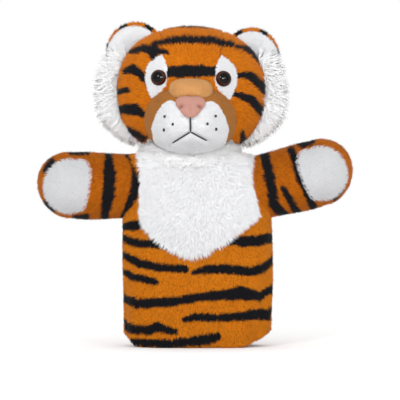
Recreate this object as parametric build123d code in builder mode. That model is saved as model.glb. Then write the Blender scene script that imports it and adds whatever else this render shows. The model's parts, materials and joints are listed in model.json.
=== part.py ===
"""A tiger hand puppet in its worn shape: a plush sleeve with a white bib, two padded arms, and a stuffed head.

The origin is the middle of the hem opening, where the hand goes in. +Z is up and the face looks along -Y,
so the puppet's own left side is +X. The head, and each arm, is drawn in its own frame, whose origin is the
centre of the ball that it turns on, and is then set in place.
"""

import math
import os

from build123d import *

os.makedirs("parts", exist_ok=True)

# Cloth
PILE = 3.0  # plush and its backing
LINING = 1.0
SEAM_GAP = 0.2  # between layers of cloth that lie on each other
TURN_GAP = 0.6  # between pieces that turn past each other

# Sleeve
SLEEVE_HEIGHT = 154.0
CHEST_WIDTH = 122.0
CHEST_DEPTH = 66.0
CHEST_LOW = 48.0  # the sleeve keeps its chest size from here up
CHEST_DROP = 50.0  # to here; drops are measured down from the sleeve's top
HEM_TAKE_IN = 4.0  # how much narrower and shallower than the chest
SHOULDER_DROP = 20.0
SHOULDER_TAKE_IN = 14.0
SHOULDER_FLATTEN = 9.0
NECK_WIDTH = 62.0
NECK_DEPTH = 52.0
NECK_SHIFT = -5.0  # the neck leans to the puppet's right
HEM_TURN_UP = 18.0
HEM_FACING = 1.2
HEM_SET_BACK = 1.0  # the layers inside stop this far above the hem's edge
BIB_HALF_WIDTH = 44.0
BIB_SIDE_DROP = 40.0
BIB_FOOT_DROP = 82.0

# Arms
SHOULDER_INSET = 5.0  # from the sleeve's side to the shoulder's centre
ARM_DROP = 25.0
ARM_LENGTH = 72.0
ARM_RADIUS = 24.0
ARM_BALL = 22.4
ARM_MOUTH = -15.0  # where the arm's inner end is cut off
WAIST_ANGLE = 47.0  # degrees from the arm's axis where the ball ends
WAIST_LENGTH = 11.0
GUSSET_THICKNESS = 1.6
GUSSET_WIDTH = 6.0
LEFT_ARM_RAISE = 13.0  # degrees at rest
RIGHT_ARM_RAISE = 0.0
ARM_POCKET_RADIUS = 9.0
ARM_POCKET_DEPTH = 64.0
PAD_NEAR = 30.0  # the paw pad's straight edge, from the shoulder's centre
PAD_FAR = 66.0
PAD_HALF_HEIGHT = 21.5

# Head, in its own frame
NECK_DROP = 2.0  # the neck's centre lies this far below the sleeve's top
HEAD_LEAN = 1.0  # degrees, towards the puppet's left
HEAD_RISE = 55.0
HEAD_HALF = (58.0, 44.0, 49.5)
MUZZLE_EASE = 5.5  # the muzzle keeps this much further from the neck's centre, to clear the chest in a nod
FACE_SEAM = 6.0  # how far behind the head's middle the face meets the back
GUSSET_HALF_WIDTH = 22.0
BROW = 60.0
CHIN_TOP = 18.0
CHIN_HALF_WIDTH = 32.0
TUBE_RADIUS = 10.0
TUBE_FOOT = 28.0
TUBE_DEPTH = 50.0

# Collar and neck lining
COLLAR_TOP = 14.0
COLLAR_THICKNESS = 5.0
COLLAR_EASE = 3.5  # between the neck lining and the collar
NECK_LINING_FOOT = -4.0
NECK_LINING_TOP = 16.0
NECK_LINING_THICKNESS = 1.5

# Muzzle and snout
MUZZLE_CENTRE = (0.0, -34.0, 30.0)
MUZZLE_HALF = (36.0, 34.0, 23.0)
MUZZLE_SKIN = 2.0
BRIDGE_CENTRE = (0.0, -46.0, 51.0)
BRIDGE_HALF = (17.5, 18.0, 11.5)
NOSE_HEIGHT = 40.0
NOSE_WIDTH = 26.0
NOSE_DROP = 15.0
NOSE_THICKNESS = 7.0
SHANK_LENGTH = 12.0
STITCH_WIDTH = 1.4
STITCH_THICKNESS = 0.9

# Eyes
EYE_SPREAD = 25.6
EYE_HEIGHT = 62.5
EYE_RADIUS = 6.2
EYE_DOME = 4.4
EYE_SHANK = 1.6
WASHER_RADIUS = 6.0
WASHER_THICKNESS = 1.0
WASHER_SINK = 0.6  # a flat washer lies this far behind a curved skin
PATCH_THICKNESS = 0.8

# Ears and cheek ruffs
EAR_SPREAD = 51.0
EAR_HEIGHT = 86.0
EAR_RADIUS = 21.0
EAR_THICKNESS = 14.0
RUFF_SPREAD = 60.0
RUFF_HEIGHT = 45.0
RUFF_HALF = (16.0, 9.0, 20.5)

FAR = 400.0  # longer than anything here, for shapes that only cut

# Heights and radii that follow from these
lining_outer = PILE + SEAM_GAP
facing_outer = lining_outer + LINING + SEAM_GAP
neck_height = SLEEVE_HEIGHT - NECK_DROP
bib_side_foot = SLEEVE_HEIGHT - BIB_SIDE_DROP
bib_foot = SLEEVE_HEIGHT - BIB_FOOT_DROP
gusset_inner = ARM_BALL + TURN_GAP
gusset_outer = gusset_inner + GUSSET_THICKNESS
neck_lining_outer = NECK_DEPTH / 2 - PILE - TURN_GAP
collar_inner = neck_lining_outer + COLLAR_EASE
collar_outer = collar_inner + COLLAR_THICKNESS
head_room = collar_outer + TURN_GAP  # radius of the hollow under the head that takes the neck


# Loose shapes that the pieces are made from

def ellipsoid(centre, half_sizes, grown=0.0):
    """A closed ellipsoid, grown all round."""
    with BuildPart() as solid:
        Sphere(1)
        scale(by=tuple(half + grown for half in half_sizes))
    return solid.part.moved(Location(centre))


def ball(radius):
    """A ball on the origin of its frame."""
    with BuildPart() as solid:
        Sphere(radius)
    return solid.part


def block(low, high):
    """A box between two corners, which only cuts."""
    with BuildPart() as solid:
        with Locations(tuple((a + b) / 2 for a, b in zip(low, high))):
            Box(*[b - a for a, b in zip(low, high)])
    return solid.part


def forward_prism(points):
    """The front half of space inside a smooth closed outline, whose points are (x, z)."""
    with BuildPart() as solid:
        with BuildSketch(Plane.XZ):
            with BuildLine():
                Spline(*points, periodic=True)
            make_face()
        extrude(amount=FAR)
    return solid.part


def sleeve_form(inset):
    """The sleeve as one solid from hem to neck, taken in all round by the inset."""
    sections = [
        (0, CHEST_WIDTH - HEM_TAKE_IN, CHEST_DEPTH - HEM_TAKE_IN, 0),
        (CHEST_LOW, CHEST_WIDTH, CHEST_DEPTH, 0),
        (SLEEVE_HEIGHT - CHEST_DROP, CHEST_WIDTH, CHEST_DEPTH, 0),
        (
            SLEEVE_HEIGHT - SHOULDER_DROP,
            CHEST_WIDTH - SHOULDER_TAKE_IN,
            CHEST_DEPTH - SHOULDER_FLATTEN,
            NECK_SHIFT / 4,
        ),
        (SLEEVE_HEIGHT, NECK_WIDTH, NECK_DEPTH, NECK_SHIFT),
    ]
    with BuildPart() as solid:
        for height, width, depth, shift in sections:
            with BuildSketch(Plane((shift, 0, height))):
                Ellipse(width / 2 - inset, depth / 2 - inset)
        loft()
    return solid.part


def arm_form(inset):
    """The arm as one solid of revolution: a ball at the shoulder, a waist that clears it, a tube and a round paw."""
    ball_radius = ARM_BALL - inset
    tube = ARM_RADIUS - inset
    waist = math.radians(WAIST_ANGLE)
    waist_at = (ball_radius * math.cos(waist), ball_radius * math.sin(waist))
    mouth_radius = math.sqrt(ball_radius**2 - ARM_MOUTH**2)
    paw_start = ARM_LENGTH - ARM_RADIUS
    with BuildPart() as solid:
        with BuildSketch(Plane.XY):
            with BuildLine():
                Line((ARM_MOUTH, 0), (ARM_MOUTH, mouth_radius))
                ThreePointArc((ARM_MOUTH, mouth_radius), (0, ball_radius), waist_at)
                Line(waist_at, (waist_at[0] + WAIST_LENGTH, tube))
                Line((waist_at[0] + WAIST_LENGTH, tube), (paw_start, tube))
                RadiusArc((paw_start, tube), (ARM_LENGTH - inset, 0), tube)
                Line((ARM_LENGTH - inset, 0), (ARM_MOUTH, 0))
            make_face()
        revolve(axis=Axis.X)
    return solid.part


def along_x(start, length, radius):
    """A round bar along +X."""
    with BuildPart() as solid:
        with BuildSketch(Plane.YZ.offset(start)):
            Circle(radius)
        extrude(amount=length)
    return solid.part


def upright(foot, length, radius):
    """A round bar along +Z."""
    with BuildPart() as solid:
        with BuildSketch(Plane.XY.offset(foot)):
            Circle(radius)
        extrude(amount=length)
    return solid.part


def shank_bar(plane, depth, radius):
    """A round bar that goes in from a plane's origin, against its normal."""
    with BuildPart() as solid:
        with BuildSketch(plane):
            Circle(radius)
        extrude(amount=-depth)
    return solid.part


def write(name, part, place=None):
    """Sets a finished piece in place, labels it and writes its STEP file."""
    placed = part if place is None else part.moved(place)
    placed.label = name
    export_step(placed, f"parts/{name}.step")


def write_pair(name, left_part, place):
    """Writes a left-hand piece and its mirror image; the name holds the word SIDE."""
    write(name.replace("SIDE", "left"), left_part, place)
    write(name.replace("SIDE", "right"), left_part.mirror(Plane.YZ), place)


def surface_plane(centre, half_sizes, x, z):
    """The plane that touches the front of an ellipsoid at (x, z), with its normal outwards."""
    u, w = (x - centre[0]) / half_sizes[0], (z - centre[2]) / half_sizes[2]
    y = centre[1] - half_sizes[1] * math.sqrt(1 - u * u - w * w)
    normal = (u / half_sizes[0], (y - centre[1]) / half_sizes[1] ** 2, w / half_sizes[2])
    return Plane(origin=(x, y, z), x_dir=(-normal[1], normal[0], 0), z_dir=normal)


# Places of the three moving groups

shoulder_spread = CHEST_WIDTH / 2 - SHOULDER_INSET
arm_height = SLEEVE_HEIGHT - ARM_DROP
SHOULDERS = {
    "left": Location((shoulder_spread, 0, arm_height), (0, -LEFT_ARM_RAISE, 0)),
    "right": Location((-shoulder_spread, 0, arm_height), (0, RIGHT_ARM_RAISE, 0)),
}
NECK = Location((NECK_SHIFT, 0, neck_height), (0, HEAD_LEAN, 0))
UPRIGHT_NECK = Location((NECK_SHIFT, 0, neck_height))


# Sleeve: two plush panels with an inset bib, a lining and the turned-up hem inside it

armhole_room = ball(gusset_outer + TURN_GAP)
sleeve_openings = [armhole_room.moved(place) for place in SHOULDERS.values()]
sleeve_openings.append(ball(neck_lining_outer + TURN_GAP).moved(UPRIGHT_NECK))
front_half = block((-FAR, -FAR, -FAR), (FAR, 0, FAR))
back_half = block((-FAR, 0, -FAR), (FAR, FAR, FAR))
bib_cheek = (BIB_HALF_WIDTH * 0.62, (bib_foot + bib_side_foot) / 2 - 3)
bib_outline = forward_prism([
    (0, bib_foot),
    bib_cheek,
    (BIB_HALF_WIDTH, bib_side_foot),
    (BIB_HALF_WIDTH + 4, SLEEVE_HEIGHT + 20),
    (0, SLEEVE_HEIGHT + 40),
    (-BIB_HALF_WIDTH - 4, SLEEVE_HEIGHT + 20),
    (-BIB_HALF_WIDTH, bib_side_foot),
    (-bib_cheek[0], bib_cheek[1]),
])

with BuildPart() as plush_sleeve:
    add(sleeve_form(0))
    add(sleeve_form(PILE), mode=Mode.SUBTRACT)
    add(sleeve_openings, mode=Mode.SUBTRACT)

with BuildPart() as body_back:
    add(plush_sleeve.part)
    add(back_half, mode=Mode.INTERSECT)
write("body_back", body_back.part)

with BuildPart() as body_front:
    add(plush_sleeve.part)
    add(front_half, mode=Mode.INTERSECT)
    add(bib_outline, mode=Mode.SUBTRACT)
write("body_front", body_front.part)

with BuildPart() as bib:
    add(plush_sleeve.part)
    add(front_half, mode=Mode.INTERSECT)
    add(bib_outline, mode=Mode.INTERSECT)
write("bib", bib.part)

above_hem = block((-FAR, -FAR, HEM_SET_BACK), (FAR, FAR, FAR))
with BuildPart() as body_lining:
    add(sleeve_form(lining_outer))
    add(sleeve_form(lining_outer + LINING), mode=Mode.SUBTRACT)
    add(above_hem, mode=Mode.INTERSECT)
    add(sleeve_openings, mode=Mode.SUBTRACT)
write("body_lining", body_lining.part)

with BuildPart() as hem_facing:
    add(sleeve_form(facing_outer))
    add(sleeve_form(facing_outer + HEM_FACING), mode=Mode.SUBTRACT)
    add(block((-FAR, -FAR, HEM_SET_BACK), (FAR, FAR, HEM_TURN_UP)), mode=Mode.INTERSECT)
write("hem_facing", hem_facing.part)


# Collar and neck lining: rings cut from balls round the neck's centre

collar_foot = NECK_DROP + TURN_GAP
with BuildPart() as neck_collar:
    Sphere(collar_outer)
    Sphere(collar_inner, mode=Mode.SUBTRACT)
    add(block((-FAR, -FAR, collar_foot), (FAR, FAR, COLLAR_TOP)), mode=Mode.INTERSECT)
write("neck_collar", neck_collar.part, UPRIGHT_NECK)

with BuildPart() as neck_lining:
    Sphere(neck_lining_outer)
    Sphere(neck_lining_outer - NECK_LINING_THICKNESS, mode=Mode.SUBTRACT)
    add(
        block((-FAR, -FAR, NECK_LINING_FOOT), (FAR, FAR, NECK_LINING_TOP)),
        mode=Mode.INTERSECT,
    )
write("neck_lining", neck_lining.part, UPRIGHT_NECK)


# Arms

arm_plush = arm_form(0)
arm_core = arm_form(PILE)
pad_outline = forward_prism([
    (PAD_NEAR, -PAD_HALF_HEIGHT * 0.7),
    (PAD_NEAR + 8, -PAD_HALF_HEIGHT),
    (PAD_FAR - 10, -PAD_HALF_HEIGHT * 0.85),
    (PAD_FAR, 0),
    (PAD_FAR - 10, PAD_HALF_HEIGHT * 0.85),
    (PAD_NEAR + 8, PAD_HALF_HEIGHT),
    (PAD_NEAR, PAD_HALF_HEIGHT * 0.7),
])

with BuildPart() as arm_sleeve:
    add(arm_plush)
    add(arm_core, mode=Mode.SUBTRACT)
    add(pad_outline, mode=Mode.SUBTRACT)

with BuildPart() as paw_pad:
    add(arm_plush)
    add(arm_core, mode=Mode.SUBTRACT)
    add(pad_outline, mode=Mode.INTERSECT)

pocket_outer = ARM_POCKET_RADIUS + LINING
with BuildPart() as arm_filling:
    add(arm_form(PILE + SEAM_GAP))
    add(
        along_x(ARM_MOUTH, ARM_POCKET_DEPTH + LINING + SEAM_GAP, pocket_outer + SEAM_GAP),
        mode=Mode.SUBTRACT,
    )

with BuildPart() as finger_pocket:
    add(along_x(ARM_MOUTH, ARM_POCKET_DEPTH + LINING, pocket_outer))
    add(along_x(ARM_MOUTH, ARM_POCKET_DEPTH, ARM_POCKET_RADIUS), mode=Mode.SUBTRACT)

with BuildPart() as shoulder_gusset:
    Sphere(gusset_outer)
    Sphere(gusset_inner, mode=Mode.SUBTRACT)
    add(
        block((ARM_MOUTH, -FAR, -FAR), (ARM_MOUTH + GUSSET_WIDTH, FAR, FAR)),
        mode=Mode.INTERSECT,
    )

for side, place in SHOULDERS.items():
    pieces = {
        f"arm_{side}_sleeve": arm_sleeve.part,
        f"paw_{side}_pad": paw_pad.part,
        f"arm_{side}_filling": arm_filling.part,
        f"arm_{side}_finger_pocket": finger_pocket.part,
        f"shoulder_{side}_gusset": shoulder_gusset.part,
    }
    for name, part in pieces.items():
        write(name, part if side == "left" else part.mirror(Plane.YZ), place)


# Head: plush panels over a stuffed core with a finger tube in it

head_centre = (0, 0, HEAD_RISE)
head_outside = ellipsoid(head_centre, HEAD_HALF)
head_clear = ellipsoid(head_centre, HEAD_HALF, SEAM_GAP)
neck_room = ball(head_room)
muzzle_room = ball(head_room + MUZZLE_EASE)
tube_outer = TUBE_RADIUS + LINING
tube_room = upright(0, TUBE_FOOT + TUBE_DEPTH + LINING + SEAM_GAP, tube_outer + SEAM_GAP)

eye_plane = surface_plane(head_centre, HEAD_HALF, EYE_SPREAD, EYE_HEIGHT)
washer_depth = PILE + SEAM_GAP + WASHER_SINK
eye_hole = shank_bar(eye_plane.offset(FAR / 10), FAR / 10 + SHANK_LENGTH + SEAM_GAP, EYE_SHANK + SEAM_GAP)
washer_room = shank_bar(
    eye_plane.offset(SEAM_GAP - washer_depth),
    WASHER_THICKNESS + 2 * SEAM_GAP,
    WASHER_RADIUS + SEAM_GAP,
)
eye_holes = [eye_hole, eye_hole.mirror(Plane.YZ)]
washer_rooms = [washer_room, washer_room.mirror(Plane.YZ)]

with BuildPart() as head_filling:
    add(ellipsoid(head_centre, HEAD_HALF, -PILE - SEAM_GAP))
    add(neck_room, mode=Mode.SUBTRACT)
    add(tube_room, mode=Mode.SUBTRACT)
    add(eye_holes, mode=Mode.SUBTRACT)
    add(washer_rooms, mode=Mode.SUBTRACT)
write("head_filling", head_filling.part, NECK)

with BuildPart() as head_finger_tube:
    add(upright(TUBE_FOOT, TUBE_DEPTH + LINING, tube_outer))
    add(upright(TUBE_FOOT, TUBE_DEPTH, TUBE_RADIUS), mode=Mode.SUBTRACT)
write("head_finger_tube", head_finger_tube.part, NECK)

with BuildPart() as head_plush:
    add(head_outside)
    add(ellipsoid(head_centre, HEAD_HALF, -PILE), mode=Mode.SUBTRACT)
    add(neck_room, mode=Mode.SUBTRACT)
    add(eye_holes, mode=Mode.SUBTRACT)

face_half = block((-FAR, -FAR, -FAR), (FAR, FACE_SEAM, FAR))
forehead_block = block((-GUSSET_HALF_WIDTH, -FAR, BROW), (GUSSET_HALF_WIDTH, FACE_SEAM, FAR))
chin_block = block((-CHIN_HALF_WIDTH, -FAR, -FAR), (CHIN_HALF_WIDTH, FACE_SEAM, CHIN_TOP))
left_half = block((0, -FAR, -FAR), (FAR, FAR, FAR))

with BuildPart() as forehead:
    add(head_plush.part)
    add(forehead_block, mode=Mode.INTERSECT)
write("forehead", forehead.part, NECK)

with BuildPart() as chin:
    add(head_plush.part)
    add(chin_block, mode=Mode.INTERSECT)
write("chin", chin.part, NECK)

with BuildPart() as cheek:
    add(head_plush.part)
    add(face_half, mode=Mode.INTERSECT)
    add(left_half, mode=Mode.INTERSECT)
    add(forehead_block, mode=Mode.SUBTRACT)
    add(chin_block, mode=Mode.SUBTRACT)
write_pair("cheek_SIDE", cheek.part, NECK)

with BuildPart() as head_back:
    add(head_plush.part)
    add(face_half, mode=Mode.SUBTRACT)
    add(left_half, mode=Mode.INTERSECT)
write_pair("head_back_SIDE", head_back.part, NECK)


# Eyes: a domed button on a shank, its locking washer, and the white patch behind it

eye_seat = SEAM_GAP + PATCH_THICKNESS + SEAM_GAP
with BuildPart() as eye:
    add(ellipsoid((0, 0, eye_seat), (EYE_RADIUS, EYE_RADIUS, EYE_DOME)))
    add(block((-FAR, -FAR, -FAR), (FAR, FAR, eye_seat)), mode=Mode.SUBTRACT)
    with BuildSketch(Plane.XY.offset(eye_seat)):
        Circle(EYE_SHANK)
    extrude(amount=-SHANK_LENGTH - eye_seat)
write_pair("eye_SIDE", eye.part.moved(eye_plane.location), NECK)

with BuildPart() as eye_washer:
    with BuildSketch(Plane.XY.offset(-washer_depth)):
        Circle(WASHER_RADIUS)
        Circle(EYE_SHANK + SEAM_GAP / 2, mode=Mode.SUBTRACT)
    extrude(amount=-WASHER_THICKNESS)
write_pair("eye_washer_SIDE", eye_washer.part.moved(eye_plane.location), NECK)

# Eye patches lie on the plush round each eye, clear of the muzzle and the bridge

muzzle_clear = ellipsoid(MUZZLE_CENTRE, MUZZLE_HALF, SEAM_GAP)
bridge_clear = ellipsoid(BRIDGE_CENTRE, BRIDGE_HALF, SEAM_GAP)
patch_outline = forward_prism([(24, 82), (33, 72), (36, 60), (31, 49), (24, 50), (18, 60), (18.5, 70)])
with BuildPart() as eye_patch:
    add(ellipsoid(head_centre, HEAD_HALF, SEAM_GAP + PATCH_THICKNESS))
    add(head_clear, mode=Mode.SUBTRACT)
    add(patch_outline, mode=Mode.INTERSECT)
    add(muzzle_clear, mode=Mode.SUBTRACT)
    add(bridge_clear, mode=Mode.SUBTRACT)
    add(eye_hole, mode=Mode.SUBTRACT)
write_pair("eye_patch_SIDE", eye_patch.part, NECK)


# Muzzle: a white front panel between two tan side panels, over a stuffed core

muzzle_outside = ellipsoid(MUZZLE_CENTRE, MUZZLE_HALF)
nose_plane = surface_plane(MUZZLE_CENTRE, MUZZLE_HALF, 0, NOSE_HEIGHT)
nose_shank_room = shank_bar(nose_plane, SHANK_LENGTH + SEAM_GAP, EYE_SHANK + SEAM_GAP)
nose_washer_depth = MUZZLE_SKIN + SEAM_GAP + 2 * WASHER_SINK
nose_washer_room = shank_bar(
    nose_plane.offset(SEAM_GAP - nose_washer_depth),
    WASHER_THICKNESS + 2 * SEAM_GAP,
    WASHER_RADIUS + SEAM_GAP,
)

with BuildPart() as muzzle_filling:
    add(ellipsoid(MUZZLE_CENTRE, MUZZLE_HALF, -MUZZLE_SKIN - SEAM_GAP))
    add(head_clear, mode=Mode.SUBTRACT)
    add(muzzle_room, mode=Mode.SUBTRACT)
    add(nose_shank_room, mode=Mode.SUBTRACT)
    add(nose_washer_room, mode=Mode.SUBTRACT)
write("muzzle_filling", muzzle_filling.part, NECK)

with BuildPart() as muzzle_skin:
    add(muzzle_outside)
    add(ellipsoid(MUZZLE_CENTRE, MUZZLE_HALF, -MUZZLE_SKIN), mode=Mode.SUBTRACT)
    add(head_clear, mode=Mode.SUBTRACT)
    add(muzzle_room, mode=Mode.SUBTRACT)
    add(nose_shank_room, mode=Mode.SUBTRACT)

muzzle_front_outline = forward_prism([
    (0, 2), (22, 6), (30, 22), (26, 36), (15, 45), (7, 40),
    (0, 36),
    (-7, 40), (-15, 45), (-26, 36), (-30, 22), (-22, 6),
])
with BuildPart() as muzzle_front:
    add(muzzle_skin.part)
    add(muzzle_front_outline, mode=Mode.INTERSECT)
write("muzzle_front", muzzle_front.part, NECK)

for side, half in (("left", left_half), ("right", left_half.mirror(Plane.YZ))):
    with BuildPart() as muzzle_side:
        add(muzzle_skin.part)
        add(half, mode=Mode.INTERSECT)
        add(muzzle_front_outline, mode=Mode.SUBTRACT)
    write(f"muzzle_side_{side}", muzzle_side.part, NECK)

with BuildPart() as nose_bridge:
    add(ellipsoid(BRIDGE_CENTRE, BRIDGE_HALF))
    add(muzzle_clear, mode=Mode.SUBTRACT)
    add(head_clear, mode=Mode.SUBTRACT)
write("nose_bridge", nose_bridge.part, NECK)

with BuildPart() as nose:
    with BuildSketch(nose_plane.offset(-3)):
        with BuildLine():
            FilletPolyline(
                (-NOSE_WIDTH / 2, NOSE_DROP * 0.45),
                (NOSE_WIDTH / 2, NOSE_DROP * 0.45),
                (NOSE_WIDTH * 0.16, -NOSE_DROP * 0.55),
                (-NOSE_WIDTH * 0.16, -NOSE_DROP * 0.55),
                radius=2,
                close=True,
            )
        make_face()
    extrude(amount=NOSE_THICKNESS)
    fillet(nose.faces().sort_by(Axis((0, 0, 0), nose_plane.z_dir))[-1].edges(), radius=1.8)
    add(muzzle_clear, mode=Mode.SUBTRACT)
    add(bridge_clear, mode=Mode.SUBTRACT)
    with BuildSketch(nose_plane.offset(NOSE_THICKNESS - 5)):
        Circle(EYE_SHANK)
    extrude(amount=-(SHANK_LENGTH + NOSE_THICKNESS - 5))
write("nose", nose.part, NECK)

with BuildPart() as nose_washer:
    with BuildSketch(nose_plane.offset(-nose_washer_depth)):
        Circle(WASHER_RADIUS)
        Circle(EYE_SHANK + SEAM_GAP / 2, mode=Mode.SUBTRACT)
    extrude(amount=-WASHER_THICKNESS)
write("nose_washer", nose_washer.part, NECK)


# Stitches on the muzzle: thread that stands a little proud of the white panel

muzzle_middle = Plane.XZ.offset(-MUZZLE_CENTRE[1])
with BuildPart() as stitch_layer:
    add(ellipsoid(MUZZLE_CENTRE, MUZZLE_HALF, SEAM_GAP + STITCH_THICKNESS))
    add(muzzle_clear, mode=Mode.SUBTRACT)

with BuildPart() as mouth_lines:
    for ends in (((0, 32), (0, 18.5)), ((0, 18.5), (-13.5, 9.5)), ((0, 18.5), (14, 11))):
        with BuildSketch(muzzle_middle):
            with BuildLine():
                Polyline(*ends)
            trace(line_width=STITCH_WIDTH)
        extrude(amount=FAR)
with BuildPart() as mouth_stitching:
    add(stitch_layer.part)
    add(mouth_lines.part, mode=Mode.INTERSECT)
    add(nose.part, mode=Mode.SUBTRACT)
write("mouth_stitching", mouth_stitching.part, NECK)

with BuildPart() as whisker_posts:
    with BuildSketch(muzzle_middle):
        for sign in (-1, 1):
            with Locations((sign * 20.5, 33), (sign * 14.5, 26), (sign * 21, 21.5)):
                Circle(STITCH_WIDTH)
    extrude(amount=FAR)
with BuildPart() as whisker_stitches:
    add(stitch_layer.part)
    add(whisker_posts.part, mode=Mode.INTERSECT)
write("whisker_stitches", whisker_stitches.part, NECK)


# Ears and cheek ruffs, sewn into the seam between face and back

with BuildPart() as ear:
    with BuildSketch(Plane.XZ.offset(-FACE_SEAM - EAR_THICKNESS / 2)):
        with Locations((EAR_SPREAD, EAR_HEIGHT)):
            Circle(EAR_RADIUS)
    extrude(amount=EAR_THICKNESS)
    fillet(ear.edges(), radius=EAR_THICKNESS * 0.35)
    add(head_clear, mode=Mode.SUBTRACT)

with BuildPart() as ear_front:
    add(ear.part)
    add(face_half, mode=Mode.INTERSECT)
write_pair("ear_SIDE_front", ear_front.part, NECK)

with BuildPart() as ear_back:
    add(ear.part)
    add(face_half, mode=Mode.SUBTRACT)
write_pair("ear_SIDE_back", ear_back.part, NECK)

with BuildPart() as cheek_ruff:
    add(ellipsoid((RUFF_SPREAD, FACE_SEAM, RUFF_HEIGHT), RUFF_HALF))
    add(head_clear, mode=Mode.SUBTRACT)
write_pair("cheek_ruff_SIDE", cheek_ruff.part, NECK)
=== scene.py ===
"""A tiger glove puppet in plush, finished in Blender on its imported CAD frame.

Shapes are worked out in millimetres, in the frame of the part that they belong to: the sleeve, the head or an arm.
A place function then sets the points in the puppet's own frame, and one function turns them into a mesh in metres.
"""

# %% [markdown]
# ## The frame
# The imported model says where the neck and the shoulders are, and how the head and the arms stand at rest. Everything
# below starts from those points, so the plush always fits the joints.

# %% Load the frame
import json
import math

import bmesh
import bpy
import numpy as np
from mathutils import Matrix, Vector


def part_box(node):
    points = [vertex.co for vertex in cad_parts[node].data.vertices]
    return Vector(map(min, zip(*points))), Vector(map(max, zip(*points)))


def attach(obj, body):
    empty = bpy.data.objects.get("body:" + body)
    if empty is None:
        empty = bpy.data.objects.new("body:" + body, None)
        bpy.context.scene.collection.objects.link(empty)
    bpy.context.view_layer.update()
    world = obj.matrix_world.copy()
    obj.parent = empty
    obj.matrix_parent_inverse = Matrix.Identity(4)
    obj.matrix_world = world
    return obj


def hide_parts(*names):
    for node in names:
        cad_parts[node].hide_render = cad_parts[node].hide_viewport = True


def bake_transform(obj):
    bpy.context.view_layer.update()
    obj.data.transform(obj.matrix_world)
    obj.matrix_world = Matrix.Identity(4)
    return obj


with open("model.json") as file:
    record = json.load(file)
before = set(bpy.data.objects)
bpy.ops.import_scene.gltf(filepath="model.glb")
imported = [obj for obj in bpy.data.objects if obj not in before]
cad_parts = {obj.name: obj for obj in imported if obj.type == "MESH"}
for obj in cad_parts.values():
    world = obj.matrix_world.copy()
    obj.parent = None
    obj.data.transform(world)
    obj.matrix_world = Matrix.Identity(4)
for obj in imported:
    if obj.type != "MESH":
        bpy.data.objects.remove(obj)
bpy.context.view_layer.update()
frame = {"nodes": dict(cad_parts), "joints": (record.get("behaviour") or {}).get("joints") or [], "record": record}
MM = 0.001
HANDS = {"left": 1, "right": -1}
joints = {joint["name"]: joint for joint in frame["joints"]}
mounts = {mount["name"]: mount for mount in frame["record"]["mounts"]}
neck = np.array(joints["head_turn"]["pos_m"]) / MM
tube_axis = mounts["head_finger_tube"]["axis"]
head_lean = math.atan2(-tube_axis[0], -tube_axis[2])
sleeve_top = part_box("body_back")[1][2] / MM
print("neck centre", neck.round(1), "lean", round(math.degrees(head_lean), 1), "sleeve top", round(sleeve_top, 1))


# %% [markdown]
# The head is drawn upright over the neck's centre and leaned with it. An arm is drawn along +X from the shoulder's
# centre, raised to its rest angle, and mirrored for the puppet's right side.

# %% Places
def in_row(points):
    """The sleeve is drawn where it stands."""
    return points


def in_head(points):
    """Turns points about Y by the head's lean, and moves them to the neck's centre."""
    x, y, z = points.T
    cos, sin = math.cos(head_lean), math.sin(head_lean)
    return np.stack([x * cos + z * sin, y, z * cos - x * sin], 1) + neck


def arm_place(side):
    """Turns an arm up to its rest angle, mirrors it for the right side, and moves it to the shoulder's centre."""
    hand = HANDS[side]
    shoulder = np.array(joints[f"arm_{side}_raise"]["pos_m"]) / MM
    axis = mounts[f"{side}_finger_pocket"]["axis"]
    cos, sin = -hand * axis[0], -axis[2]

    def place(points):
        x, y, z = points.T
        return np.stack([hand * (x * cos - z * sin), y, x * sin + z * cos], 1) + shoulder

    return place


def directions(place, vectors):
    """Turns directions as the place turns points."""
    return place(vectors) - place(np.zeros((1, 3)))


# %% [markdown]
# ## Making meshes
# Plush is a knitted backing with a pile of fibres. The backing is a thin closed layer: a surface, the same surface
# sunk by the cloth's thickness, and a wall round every edge, holes included. The pile is thousands of small tufts
# that stand on the surface and lean the way the cloth was brushed. Real fibres are far too many to model, so each tuft
# is a closed spike about as wide as a lock of fibres, and its normals lean towards the cloth's, which keeps it soft.

# %% One mesh from arrays
def piece(name, points, faces, corner_uv, marks, place, normals=None):
    """Puts arrays of millimetre points and equal-sided faces into a mesh. marks holds three numbers for each point:
    how far it is in a stripe, its own tint, and its height in the pile. Faces are turned round under a mirror."""
    if np.linalg.det(directions(place, np.eye(3))) < 0:
        faces, corner_uv = faces[:, ::-1], corner_uv[:, ::-1]
    mesh = bpy.data.meshes.new(name)
    mesh.vertices.add(len(points))
    mesh.vertices.foreach_set("co", (place(points) * MM).astype(np.float32).ravel())
    mesh.loops.add(faces.size)
    mesh.loops.foreach_set("vertex_index", np.ascontiguousarray(faces, np.int32).ravel())
    mesh.polygons.add(len(faces))
    mesh.polygons.foreach_set("loop_start", np.arange(0, faces.size, faces.shape[1], dtype=np.int32))
    mesh.update(calc_edges=True)
    mesh.uv_layers.new(name="OFBake").data.foreach_set("uv", np.ascontiguousarray(corner_uv, np.float32).ravel())
    attribute = mesh.attributes.new("pile", "FLOAT_VECTOR", "POINT")
    attribute.data.foreach_set("vector", np.ascontiguousarray(marks, np.float32).ravel())
    if normals is not None:
        mesh.normals_split_custom_set_from_vertices(directions(place, normals).tolist())
    obj = bpy.data.objects.new(name, mesh)
    bpy.context.scene.collection.objects.link(obj)
    return obj


def unit(vectors):
    """Vectors of length one."""
    return vectors / np.maximum(np.linalg.norm(vectors, axis=1, keepdims=True), 1e-9)


def slopes(shape, u, v, step=1e-3):
    """How a surface runs along each parameter, from points a small step either side, kept off the poles."""
    v = np.clip(v, 0.01, 0.99)
    along_u = (shape(u + step, v) - shape(u - step, v)) / (2 * step)
    along_v = (shape(u, v + step) - shape(u, v - step)) / (2 * step)
    return along_u, along_v


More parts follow.
